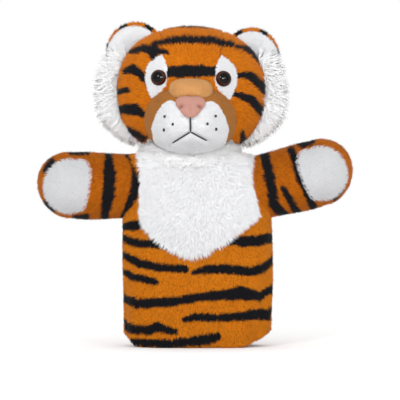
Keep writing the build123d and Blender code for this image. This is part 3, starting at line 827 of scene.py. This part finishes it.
def in_patch(points, spare=0.0):
    """True in the white patch round each eye: a leaf that stands on its point's side, tall and narrow."""
    x, y, z = np.abs(points[:, 0]), points[:, 1], points[:, 2]
    knots = [46.5, 49, 52, 55.5, 61.5, 68, 73, 77, 81]
    low = smooth(z, knots, [29, 26.5, 23, 20, 18.5, 19, 19.5, 21, 23])
    high = smooth(z, knots, [31, 32.2, 33.4, 34.8, 36, 35.7, 33.7, 29.5, 24])
    return (y < 0) & (z > 46.5 + spare) & (z < 81 - spare) & (x > low + spare) & (x < high - spare)


def in_chin(points, spare=0.0):
    """True on the white underside between the cheeks."""
    x, y, z = points.T
    return (z < 15 - spare) & (np.abs(x) < 34 - spare) & (y < BACK_SEAM)


HEAD_BANDS = [
    [(-30, 89.5, 1.2), (-10, 93.2, 2.2), (16, 93, 2.4), (31, 90, 1.6)],
    [(-24, 103.4, 0.4), (0, 105, 0.6), (30, 103, 0.4)],
    [(-48, 83, 1), (-38, 86, 2.6), (-31, 84.5, 3.6), (-30, 78, 1.6)],
    [(-31, 85, 2.6), (-19, 82.5, 0.6)],
    [(35, 89, 0.8), (45, 86.5, 1.8), (55, 78, 2)],
    [(-51.5, 68, 2), (-46, 70, 2.8), (-40, 65, 2), (-36, 57, 0.4)],
    [(38, 66, 1.6), (47.5, 65.5, 2.8), (60, 54, 2.8)],
    [(-60, 52, 1.8), (-50, 52.8, 1.6)],
    [(33, 51.5, 1), (47.8, 47, 3), (60, 34, 2.8)],
    [(-58, 38, 2), (-50, 38.5, 3.4), (-44, 37.5, 3.8), (-38, 34, 1.8)],
    [(-50, 23, 1.6), (-41, 18.5, 2.2), (-36, 16, 1.6)],
    [(41, 22, 1), (43, 12, 2.8)],
    [(-20, 67, 3.8), (-5, 67.8, 4.2), (8, 68.4, 4), (20, 68, 3)],
]
HEAD_BACK_BANDS = [
    [(-40, 92, 1.5), (-20, 97, 2.4), (-6, 96, 1.2)], [(8, 98, 1.4), (24, 95, 2.6), (42, 91, 1.5)],
    [(-56, 74, 2), (-34, 80, 3), (-10, 78, 3), (4, 81, 1.2)], [(58, 70, 2.4), (36, 75, 3), (18, 72, 1.4)],
    [(-60, 54, 2.4), (-36, 59, 3.4), (-14, 56, 1.6)], [(60, 50, 2.6), (34, 55, 3.2), (4, 60, 2.8), (-6, 58, 1)],
    [(-58, 34, 2.4), (-30, 38, 3.2), (2, 35, 3), (20, 38, 1.2)], [(58, 32, 2.4), (38, 28, 2.8), (26, 30, 1)],
    [(-44, 16, 2), (-18, 19, 2.8), (8, 16, 1.4)], [(44, 14, 2), (26, 17, 2.4)],
    [(-26, 102, 1.6), (0, 105, 2.4), (34, 102, 1.6)],
]


def head_stripes(points):
    """Face stripes in front of the ears and back stripes behind them."""
    x, y, z = points.T
    return np.where(y < BACK_SEAM, banded(x, z, HEAD_BANDS), banded(x, z, HEAD_BACK_BANDS))


def forward(points):
    """Brushed forwards and down, under the chin."""
    return np.tile([0.0, -1.0, -0.5], (len(points), 1))


def from_nose(points):
    """Brushed away from the nose, and down on the cheeks."""
    return unit(points - [0, -70, 46]) + [0, 0.2, -0.25]


# %% [markdown]
# Each panel is the part of the head's surface between its seams, so neighbouring panels share their edge.

# %% Head panels
def hidden(points):
    """True where the muzzle, the bridge or the neck covers the head."""
    covered = inside(points, MUZZLE_CENTRE, MUZZLE_HALF, -4) | inside(points, BRIDGE_CENTRE, BRIDGE_HALF, -3)
    return covered | (np.linalg.norm(points, axis=1) < 24)


def face(points):
    """True in front of the ears."""
    return points[:, 1] < BACK_SEAM


def is_brow(points):
    """True on the forehead, between the two brow seams."""
    return face(points) & (points[:, 2] > 60) & (np.abs(points[:, 0]) < brow_edge(points[:, 2]))


HEAD_PANELS = {
    "forehead": lambda p: is_brow(p) & ~in_patch(p),
    "cheek_left": lambda p: face(p) & ~is_brow(p) & ~in_patch(p) & ~in_chin(p) & (p[:, 0] >= 0),
    "cheek_right": lambda p: face(p) & ~is_brow(p) & ~in_patch(p) & ~in_chin(p) & (p[:, 0] < 0),
    "head_back_left": lambda p: ~face(p) & (p[:, 0] >= 0),
    "head_back_right": lambda p: ~face(p) & (p[:, 0] < 0),
}
for name, part in HEAD_PANELS.items():
    panel = layer(f"{name}_backing", head_surface, 180, 100, 1.4, in_head, cloth_marks(head_stripes), closed=True,
                  keep=lambda p, part=part: part(p) & ~hidden(p))
    dress(panel, head_plush_painted_darker, "head", [name])
chin = layer("chin_backing", head_surface, 180, 100, 1.4, in_head, cloth_marks(plain, 0.6), closed=True,
             keep=lambda p: in_chin(p) & ~hidden(p))
dress(chin, white_plush, "head", ["chin"])
for side, hand in HANDS.items():
    patch = layer(f"eye_patch_{side}_backing", head_surface, 240, 140, 1.2, in_head, cloth_marks(plain, 0.7),
                  closed=True, keep=lambda p, hand=hand: in_patch(p) & (p[:, 0] * hand > 0) & ~hidden(p))
    dress(patch, white_velour, "head", [f"eye_patch_{side}"])

# %% Head pile
eye_centres = [face_point(hand * EYE_SPREAD, EYE_HEIGHT) for hand in (1, -1)]


def off_eyes(points):
    """True outside the two eyes, so that no pile grows through them."""
    return np.all([np.linalg.norm(points - centre, axis=1) > EYE_RADIUS + 0.3 for centre in eye_centres], axis=0)


def off_seams(points):
    """True outside the narrow line of each brow seam, where the pile is caught in the stitches."""
    x, y, z = points.T
    return (np.abs(np.abs(x) - brow_edge(z)) > 0.7) | (z < 80) | (y > BACK_SEAM)


def head_length(points):
    """The pile is short round the eyes and the muzzle, and grows to five millimetres over the cheeks and the crown."""
    near = np.linalg.norm(points - [0, -50, 50], axis=1)
    return np.clip(2.6 + (near - 28) * 0.09, 2.6, 4.8)


for name, part, seed in (("face_pile", face, 31), ("head_back_pile", lambda p: ~face(p), 32)):
    obj = pile(name, head_surface, 2.1, head_length, (38, 62), from_nose, in_head, stripes=head_stripes, width=0.5,
               keep=lambda p, part=part: part(p) & ~in_patch(p, -0.4) & ~in_chin(p) & ~hidden(p) & off_eyes(p)
               & off_seams(p), seed=seed)
    dress(obj, head_plush_painted_darker, "head")
patch_pile = pile("eye_patch_pile", head_surface, 4.0, 2.4, (30, 60), from_nose, in_head, width=0.45,
                  keep=lambda p: in_patch(p, 0.4) & off_eyes(p) & ~hidden(p), seed=33)
dress(patch_pile, white_velour, "head")
chin_pile = pile("chin_pile", head_surface, 2.4, 9.0, (20, 70), forward, in_head, width=0.6, segments=2,
                 keep=lambda p: in_chin(p) & ~hidden(p), seed=34)
dress(chin_pile, white_fur, "head")


# %% [markdown]
# ## Muzzle
# The muzzle is a stuffed oval sewn to the face. Two white cheeks meet in a sewn mouth, and tan velour wraps round them.
# The embroidery pulls the cloth in by a millimetre, so the mouth and the line under the nose lie in shallow grooves.

# %% Muzzle surface
MOUTH_CORNER, MOUTH_RIGHT, MOUTH_LEFT = (0.4, 18.8), (-14.2, 10), (13.8, 12.4)
MOUTH = [[(0, 36, 0), (*MOUTH_CORNER, 0), (*MOUTH_RIGHT, 0)], [(*MOUTH_CORNER, 0), (*MOUTH_LEFT, 0)]]
WHISKERS = [(-19.4, 30.8), (-12.8, 25.2), (-19.6, 21), (19.2, 31.8), (12.8, 26), (19.6, 22.2)]
MUZZLE_SPARE = 2.5


def squared(way, power):
    """Stretches a direction's part across the face from a circle to a square with round corners."""
    across, up = np.abs(way[:, 0]), np.abs(way[:, 2])
    stretch = (across**power + up**power + 1e-9) ** (-1 / power) * np.hypot(across, up)
    return np.stack([stretch, np.ones(len(way)), stretch], 1)


def muzzle_out(way):
    """The muzzle's cloth in a direction: a squarish oval a little larger than its stuffing, wrapped back round the face
    at its sides, with two full cheeks and sewn grooves."""
    points = MUZZLE_CENTRE + (MUZZLE_HALF + [0, 0, MUZZLE_SPARE]) * way * squared(way, 2.4)
    points[:, 1] += 6.0 * (points[:, 0] / MUZZLE_HALF[0]) ** 2
    x, y, z = points.T
    cheek = 1.6 * np.exp(-((np.abs(x) - 14) / 8) ** 2 - ((z - 24) / 10) ** 2)
    groove = 1.4 * np.exp(-(np.minimum(depth_in(x, z, MOUTH), 0) / 2.0) ** 2)
    return points + ((cheek - groove) * (way[:, 1] < 0))[:, None] * way


def fronted(outward_to, reach=0.62):
    """A surface from a function of direction, round an axis that points forward: u once round, v from behind the rim,
    reach of half a turn away, to the front."""
    def shape(u, v):
        angle, swing = 2 * math.pi * u, reach * math.pi * (1 - v)
        return outward_to(np.stack([np.sin(swing) * np.cos(angle), -np.cos(swing), np.sin(swing) * np.sin(angle)], 1))
    return shape


def muzzle_point(x, z, out=0.0):
    """The point of the muzzle's front at a place across and up, and some millimetres out."""
    across, up = x / MUZZLE_HALF[0], (z - MUZZLE_CENTRE[2]) / (MUZZLE_HALF[2] + MUZZLE_SPARE)
    shrink = squared(np.array([[across, 0.0, up]]), 2.4)[0, 0]
    across, up = across / shrink, up / shrink
    way = np.array([[across, -math.sqrt(1 - across**2 - up**2), up]])
    return (muzzle_out(way) + out * way)[0]


def in_white(points, spare=0.0):
    """True on the white of the muzzle: two round cheeks that rise beside the nose and run down into the chin."""
    x, y, z = np.abs(points[:, 0]), points[:, 1], points[:, 2]
    top = smooth(x, [0, 7, 15, 19, 22.6, 26.6, 30.6], [38, 40, 43.5, 42.5, 39, 33, 22])
    low = smooth(x, [0, 20, 25, 28.6, 30.6], [-2, 2, 6, 13, 23])
    return (x < 30.6 - spare) & (z < top - spare) & (z > low + spare)


def off_stitches(points):
    """True clear of the mouth's thread and of the whisker stitches."""
    x, y, z = points.T
    clear = depth_in(x, z, MOUTH) < -0.75
    for at, height in WHISKERS:
        clear &= np.hypot(x - at, z - height) > 1.1
    return clear


# %% Muzzle pieces
muzzle_surface = fronted(muzzle_out)
proud = lambda p: ~inside(p, HEAD_CENTRE, HEAD_HALF, -2.5)
white_part = layer("muzzle_front_backing", muzzle_surface, 160, 90, 1.2, in_head, cloth_marks(plain, 0.8), closed=True,
                   keep=lambda p: in_white(p) & proud(p))
dress(white_part, white_velour, "head", ["muzzle_front"])
for side, hand in HANDS.items():
    tan = layer(f"muzzle_side_{side}_backing", muzzle_surface, 160, 90, 1.2, in_head, cloth_marks(plain, 0.6),
                closed=True, keep=lambda p, hand=hand: ~in_white(p) & proud(p) & (p[:, 0] * hand > 0))
    dress(tan, tan_velour, "head", [f"muzzle_side_{side}"])


def muzzle_length(points):
    """Short, and a little longer underneath, where the muzzle meets the chin."""
    return 1.7 + 1.5 * np.clip((15 - points[:, 2]) / 12, 0, 1)


def fringe_length(points):
    """Grows from two to five millimetres over the muzzle's lower edge, so that it runs into the fur of the neck."""
    return 1.8 + 3.4 * np.clip((9.5 - points[:, 2]) / 5, 0, 1)


def from_mouth(points):
    """Brushed away from the nose over the muzzle."""
    return unit(points - [0, -68, 40]) + [0, 0.1, -0.2]


white_pile = pile("muzzle_front_pile", muzzle_surface, 5.0, muzzle_length, (25, 60), from_mouth, in_head, width=0.42,
                  keep=lambda p: in_white(p) & proud(p) & off_stitches(p), seed=41)
dress(white_pile, white_velour, "head")
fringe = pile("muzzle_fringe_pile", muzzle_surface, 2.2, fringe_length, (40, 78), downward, in_head, width=0.42,
              segments=2, keep=lambda p: in_white(p) & proud(p) & (p[:, 2] < 9.5) & (p[:, 1] < -35), seed=44,
              spread=(1, 3, 1))
dress(fringe, white_velour, "head")
tan_pile = pile("muzzle_side_pile", muzzle_surface, 4.5, 1.9, (25, 60), from_mouth, in_head, width=0.42,
                keep=lambda p: ~in_white(p) & proud(p), seed=42)
dress(tan_pile, tan_velour, "head")


# %% [markdown]
# The pad over the bridge of the nose is lighter, and square with round corners. The nose is smooth pink velour over a
# moulded washer, a rounded triangle with two dents for nostrils.

# %% Bridge and nose
def bridge_out(way):
    """The bridge's cloth in a direction: an egg, made squarer seen from the front."""
    return BRIDGE_CENTRE + (BRIDGE_HALF - [0.8, 0, 1.5]) * way * squared(way, 3)


bridge_surface = fronted(bridge_out, 0.75)
bridge = layer("nose_bridge_backing", bridge_surface, 72, 48, 1.2, in_head, cloth_marks(plain, 0.6), closed=True)
dress(bridge, bridge_velour, "head", ["nose_bridge"])
bridge_pile = pile("nose_bridge_pile", bridge_surface, 4.5, 1.9, (25, 60), from_mouth, in_head, width=0.42,
                   keep=lambda p: p[:, 1] < -40, seed=43)
dress(bridge_pile, bridge_velour, "head")

NOSE_HEIGHT = 40.0
nose_foot = muzzle_point(0.0, NOSE_HEIGHT)
NOSE_OUT = np.array([0.0, -0.84, 0.54])
NOSE_UP = np.array([0.0, 0.54, 0.84])
NOSTRILS = [(-7.4, -3.4), (7.2, -3.2)]


def nose_surface(u, v):
    """A domed pad over a rounded triangle, whose radius is a mean plus a wave three times round. It is dented at the
    nostrils and along the line between them."""
    angle, swing = 2 * math.pi * u, math.pi * (1 - v)
    radius = 10.2 + 1.4 * np.cos(3 * (angle - math.pi / 6))
    flat = np.sin(swing) ** 0.7
    across, up = 1.1 * radius * flat * np.cos(angle), radius * flat * np.sin(angle) * 0.95 - 1
    lift = 1.0 + 4.2 * np.cos(swing)
    for at, height in NOSTRILS:
        lift = lift - 2.0 * np.exp(-(((across - at) / 2.0) ** 2 + ((up - height) / 1.5) ** 2)) * (np.cos(swing) > 0)
    lift = lift - 0.7 * np.exp(-(across / 0.8) ** 2) * (up < -1) * (np.cos(swing) > 0)
    return nose_foot + across[:, None] * [1, 0, 0] + up[:, None] * NOSE_UP + lift[:, None] * NOSE_OUT


def nose_marks(points):
    """Darker in the nostrils."""
    offset = points - nose_foot
    across, up = offset[:, 0], offset @ NOSE_UP
    dark = sum(np.exp(-(((across - at) / 1.9) ** 2 + ((up - height) / 1.4) ** 2)) for at, height in NOSTRILS)
    return np.stack([dark * 0.8, np.full(len(points), 0.5), np.full(len(points), 0.8)], 1)


nose = layer("nose_pad", nose_surface, 72, 48, 0, in_head, nose_marks, closed=True)
dress(nose, nose_velour, "head", ["nose"])


# %% [markdown]
# The mouth is one line of thick black thread, sewn down from the nose and out to both sides. Three short stitches on
# each cheek stand for whisker roots.

# %% Embroidery
def tube_along(path, radius):
    """A round thread through a few points, closed at both ends: a smooth curve, and a ring round it at each place."""
    path = np.array(path, float)
    knots = np.linspace(0, 1, len(path))

    def shape(u, v):
        along = np.stack([smooth(v, knots, path[:, k]) for k in range(3)], 1)
        ahead = np.stack([smooth(np.minimum(v + 0.01, 1), knots, path[:, k]) for k in range(3)], 1)
        behind = np.stack([smooth(np.maximum(v - 0.01, 0), knots, path[:, k]) for k in range(3)], 1)
        side = unit(np.cross(ahead - behind, [[0.0, -1.0, 0.0]]))
        up = unit(np.cross(side, ahead - behind))
        size = radius * (1 - np.abs(2 * v - 1) ** 16) ** 0.5
        angle = -2 * math.pi * u
        return along + size[:, None] * (np.cos(angle)[:, None] * side + np.sin(angle)[:, None] * up)
    return shape


def joined(name, objects):
    """Puts several meshes together as one piece."""
    mesh = bmesh.new()
    for obj in objects:
        mesh.from_mesh(obj.data)
    mesh.to_mesh(objects[0].data)
    mesh.free()
    for obj in objects[1:]:
        bpy.data.objects.remove(obj)
    objects[0].name = name
    return objects[0]


threads = []
for k, end in enumerate([(0, 35), MOUTH_RIGHT, MOUTH_LEFT]):
    places = [np.add(MOUTH_CORNER, np.subtract(end, MOUTH_CORNER) * share) for share in np.linspace(0, 1, 6)]
    line = tube_along([muzzle_point(x, z, 0.9) for x, z in places], 0.62)
    threads.append(layer(f"mouth_{k}", line, 10, 24, 0, in_head, closed=True))
dress(joined("mouth_thread", threads), thread, "head", ["mouth_stitching"])
stitches = [tube_along([muzzle_point(x, z + d, 1.1) for d in (1.0, 0, -1.0)], 0.85) for x, z in WHISKERS]
knots = [layer(f"whisker_{k}", stitch, 12, 12, 0, in_head, closed=True) for k, stitch in enumerate(stitches)]
dress(joined("whisker_thread", knots), thread, "head", ["whisker_stitches"])


# %% [markdown]
# Each eye is one dome of cast plastic with a stem through the cloth to its washer.

# %% Eyes
EYE_WIDTH, EYE_DOME, EYE_BACK, PUPIL_RADIUS = 6.4, 4.4, 1.5, 4.6


def eye_shape(hand):
    """A dome over a shallow back, turned a little outwards: u once round, v from the back to the front."""
    out = unit(np.array([[hand * 0.28, -1.0, 0.08]]))[0]
    side = unit(np.cross([[0.0, 0.0, 1.0]], out[None]))[0]
    up = np.cross(out, side)
    centre = face_point(hand * EYE_SPREAD, EYE_HEIGHT) + 1.0 * out

    def shape(u, v):
        angle, swing = 2 * math.pi * u, math.pi * (1 - v)
        flat = EYE_WIDTH * np.sin(swing)
        tall = np.where(swing < math.pi / 2, EYE_DOME, EYE_BACK) * np.cos(swing)
        ring = np.cos(angle)[:, None] * side + np.sin(angle)[:, None] * up
        return centre + flat[:, None] * ring + tall[:, None] * out

    def marks(points):
        gap = points - centre
        radius = np.linalg.norm(gap - (gap @ out)[:, None] * out, axis=1)
        pupil = np.clip((PUPIL_RADIUS - radius) / 0.5, 0, 1)
        return np.stack([pupil, np.full(len(points), 0.5), np.ones(len(points))], 1)

    return shape, marks


for side, hand in HANDS.items():
    shape, marks = eye_shape(hand)
    eye = layer(f"eye_{side}_dome", shape, 64, 40, 0, in_head, marks, closed=True)
    dress(eye, eye_gloss, "head", [f"eye_{side}"])


# %% [markdown]
# ## Ears and ruff
# An ear is two discs of cloth sewn round the edge: white velour in front, pushed in to a shallow cup, and striped
# plush behind that rolls over the top edge. Long white fur is sewn into each side seam from the ear to the jaw.

# %% Ears
EARS = {"left": (1, 48.5, 82.5, 22.5), "right": (-1, 46.0, 85.0, 23.0)}
EAR_HALF, EAR_CUP, CUP_RADIUS, EAR_MIDDLE, EAR_TURN = 6.5, 8.5, 12.5, 2.0, math.radians(14)


def ear_shape(hand, across, height, radius):
    """A cushion with a cupped front, its radius the sine and its thickness the cosine of the way over from back to
    front, turned outwards."""
    def shape(u, v):
        angle, swing = 2 * math.pi * u, math.pi * (1 - v)
        flat = radius * np.sin(swing)
        cup = EAR_CUP * np.exp(-(flat / CUP_RADIUS) ** 2) * (swing < math.pi / 2)
        deep = -EAR_HALF * np.cos(swing) * (0.6 + 0.4 * np.abs(np.cos(swing))) + cup
        x, z = flat * np.cos(angle), flat * np.sin(angle)
        cos, sin = math.cos(hand * EAR_TURN), math.sin(hand * EAR_TURN)
        return np.stack([hand * across + x * cos - deep * sin, EAR_MIDDLE + x * sin + deep * cos, height + z], 1)
    return shape


def in_ear(points, hand, across, height):
    """Across, depth and height of a point from the ear's centre, with the ear's turn taken off."""
    x, y, z = (points - [hand * across, EAR_MIDDLE, height]).T
    cos, sin = math.cos(hand * EAR_TURN), math.sin(hand * EAR_TURN)
    return x * cos + y * sin, y * cos - x * sin, z


def over_seam(hand, across, height, radius):
    """True behind the ear's edge seam, which comes forward over the top of the ear by two millimetres."""
    def part(points):
        x, deep, z = in_ear(points, hand, across, height)
        flat = np.hypot(x, z)
        top = np.clip(1.6 * z / np.maximum(flat, 1) - 0.2, 0, 1)
        return (deep > EAR_CUP / 2 * np.exp(-(flat / CUP_RADIUS) ** 2)) | (flat > radius - 2.0 * top)
    return part


def ear_stripes(hand, across, height, radius):
    """Dark patches round the rim, drawn by angle."""
    def stripes(points):
        x, _, z = in_ear(points, hand, across, height)
        return np.clip(2.5 * np.sin(6.5 * np.arctan2(z, hand * x) + 0.6) - 0.6, 0, 1)
    return stripes


def up_and_out(points):
    """Brushed up and away from the head's middle."""
    return np.stack([0.012 * points[:, 0], np.full(len(points), 0.1), np.full(len(points), 0.8)], 1)


for side, ear in EARS.items():
    shape, behind, striped = (make(*ear) for make in (ear_shape, over_seam, ear_stripes))
    fore = layer(f"ear_{side}_front_backing", shape, 96, 64, 1.2, in_head, cloth_marks(plain, 0.8), closed=True,
                 keep=lambda p, behind=behind: ~behind(p))
    dress(fore, white_velour, "head", [f"ear_{side}_front"])
    aft = layer(f"ear_{side}_back_backing", shape, 96, 64, 1.2, in_head, cloth_marks(striped), closed=True, keep=behind)
    dress(aft, head_plush_painted_darker, "head", [f"ear_{side}_back"])
    fore_pile = pile(f"ear_{side}_front_pile", shape, 4.0, 2.2, (25, 65), up_and_out, in_head, width=0.45,
                     keep=lambda p, behind=behind: ~behind(p) & ~inside(p, HEAD_CENTRE, HEAD_HALF, -1), seed=51)
    dress(fore_pile, white_velour, "head")
    aft_pile = pile(f"ear_{side}_back_pile", shape, 2.4, 3.6, (20, 60), up_and_out, in_head, stripes=striped,
                    keep=lambda p, behind=behind: behind(p) & ~inside(p, HEAD_CENTRE, HEAD_HALF, -1),
                    width=0.5, ruffle=0.6, seed=52)
    dress(aft_pile, head_plush_painted_darker, "head")


# %% Ruff
def ruff_shape(hand):
    """The strip that the long fur grows from: a tall narrow egg at the side seam, curved in under the jaw."""
    def outward_to(way):
        points = np.array([hand * 54.0, 4.0, 48.0]) + np.array([10.0, 9.0, 31.0]) * way
        return points - [hand * 12.0, 0, 0] * np.clip((48 - points[:, 2:]) / 31, 0, 1) ** 2
    return fronted(outward_to, 1.0)


def ruff_length(points):
    """Seventeen millimetres beside the cheek and ten at the jaw."""
    return 17 - 7 * np.clip((40 - points[:, 2]) / 25, 0, 1)


def ruff_lay(hand):
    """Brushed out to the side, up beside the ear and down at the jaw."""
    def lay(points):
        height = (points[:, 2] - 50) / 40
        return np.stack([np.full(len(points), hand * 1.0), np.full(len(points), -0.1), height - 0.5], 1)
    return lay


for side, hand in HANDS.items():
    shape = ruff_shape(hand)
    ruff = layer(f"cheek_ruff_{side}_backing", shape, 40, 40, 1.5, in_head, cloth_marks(plain, 0.9), closed=True)
    dress(ruff, white_fur, "head", [f"cheek_ruff_{side}"])
    fur = pile(f"cheek_ruff_{side}_pile", shape, 3.4, ruff_length, (20, 60), ruff_lay(hand), in_head, width=0.38,
               segments=3, ruffle=0.5, keep=lambda p: ~inside(p, HEAD_CENTRE, HEAD_HALF, 2), seed=53, spread=(1, 3, 1))
    dress(fur, white_fur, "head")


# %% [markdown]
# ## Collar
# A padded white roll closes the neck. It turns with the head, and its fur hides the seam with the sleeve.

# %% Collar
def collar_surface(u, v):
    """A barrel round the neck, an oval a little wider than it is deep."""
    angle, z = 2 * math.pi * u, -8 + 17 * v
    radius = 27.5 + 3.6 * np.sin(math.pi * v) ** 0.6
    return np.stack([1.2 * radius * np.cos(angle), radius * np.sin(angle), z], 1) + neck


def collar_lay(points):
    """Brushed out from the neck and slightly down."""
    return unit((points - neck) * [1, 1, 0]) + [0, 0, -0.35]


collar = layer("neck_collar_backing", collar_surface, 96, 20, 2.5, in_row, cloth_marks(plain, 0.8), closed=True)
dress(collar, white_plush, "neck_turn", ["neck_collar"])
collar_pile = pile("neck_collar_pile", collar_surface, 2.4, 8.0, (25, 70), collar_lay, in_row, width=0.75, segments=2,
                   ruffle=0.4, seed=61)
dress(collar_pile, white_fur, "neck_turn")


# %% [markdown]
# ## Inside
# A woven lining covers the inside of the sleeve, and the plush is turned up over it at the hem.

# %% Lining and hem
def lining_at(inset):
    """The inside of the sleeve, sunk by some millimetres and facing in: u once round, backwards, v from hem to neck."""
    def shape(u, v):
        angle = -2 * math.pi * u
        low = hem_height(SEAM_REACH * np.cos(angle)) + 1.5
        points = sleeve_at(angle, low + (sleeve_top - 2 - low) * v)
        around = sleeve_at(angle + 1e-3, points[:, 2]) - points
        return points - inset * unit(np.cross(around, [[0.0, 0.0, 1.0]]))
    return shape


def hem_turned(u, v):
    """The turned-up hem lies on the lining's lowest eighteen millimetres."""
    return lining_at(3.6)(u, 0.12 * v)


lining = layer("body_lining_cloth", lining_at(2.6), 120, 60, 0.6, closed=True, keep=off_armholes)
dress(lining, lining_cloth, "torso", ["body_lining"])
hem = layer("hem_facing_cloth", hem_turned, 120, 8, 0.9, marks=cloth_marks(plain, 0.5), closed=True)
dress(hem, orange_plush, "torso", ["hem_facing"])

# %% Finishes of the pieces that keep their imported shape
FINISHES = {
    lining_cloth: ["neck_lining", "head_finger_tube", "arm_left_finger_pocket", "arm_right_finger_pocket"],
    stuffing: ["head_filling", "muzzle_filling", "arm_left_filling", "arm_right_filling"],
    washer_plastic: ["eye_washer_left", "eye_washer_right", "nose_washer"],
}
for material, names in FINISHES.items():
    for name in names:
        frame["nodes"][name].material_slots[0].material = material


# %% [markdown]
# ## Camera and light
# The puppet stands straight before a long lens, at its own height, in soft light from large boxes, on pale paper. The
# third light shows only in gloss: it makes the bright points in the eyes, and adds nothing to the cloth's own shading.

# %% Camera, lights and floor
def look_at(obj, target):
    """Turns a camera or a light to face a point."""
    direction = np.array(target) - np.array(obj.location)
    yaw, pitch = math.atan2(direction[0], direction[1]), math.atan2(direction[2], math.hypot(*direction[:2]))
    obj.rotation_euler = (math.pi / 2 + pitch, 0, -yaw)


FIELD_WIDTH = 0.32
DISTANCE = 1.9
AIM = (0.0032, 0.0, 0.1176)
camera = bpy.data.objects.new("camera", bpy.data.cameras.new("camera"))
bpy.context.scene.collection.objects.link(camera)
camera.location = (AIM[0], -DISTANCE, AIM[2])
camera.data.sensor_width = 36
camera.data.lens = 36 * (DISTANCE - 0.03) / FIELD_WIDTH
look_at(camera, AIM)
bpy.context.scene.camera = camera

for name, spot, size, power in (
    ("key_softbox", (-0.5, -1.3, 0.75), 0.32, 7.0),
    ("fill_softbox", (0.7, -1.3, 0.5), 0.35, 4.5),
    ("catch_light", (0.25, -1.5, 0.42), 0.30, 14.0),
):
    light = bpy.data.objects.new(name, bpy.data.lights.new(name, "AREA"))
    light.data.size, light.data.energy = size, power
    light.location = spot
    light.visible_diffuse = name != "catch_light"
    look_at(light, AIM)
    bpy.context.scene.collection.objects.link(light)
world = bpy.data.worlds.new("pale_studio")
world.use_nodes = True
world.node_tree.nodes["Background"].inputs["Color"].default_value = (1, 1, 1, 1)
world.node_tree.nodes["Background"].inputs["Strength"].default_value = 1.0
bpy.context.scene.world = world

FLOOR_DROP = 1.0
FLOOR_HALF = 3000.0
corner_uv = np.array([[0, 0], [1, 0], [1, 1], [0, 1]])
corners = np.column_stack([(2 * corner_uv - 1) * FLOOR_HALF, np.full(4, -FLOOR_DROP)])
floor = piece("floor", corners, np.array([[0, 1, 2, 3]]), corner_uv[None], np.zeros((4, 3)), in_row)
floor.data.materials.append(moulded("white paper", "#FFFFFF", "#FDFDFD", 0.9))
bpy.context.scene.view_settings.view_transform = "Standard"
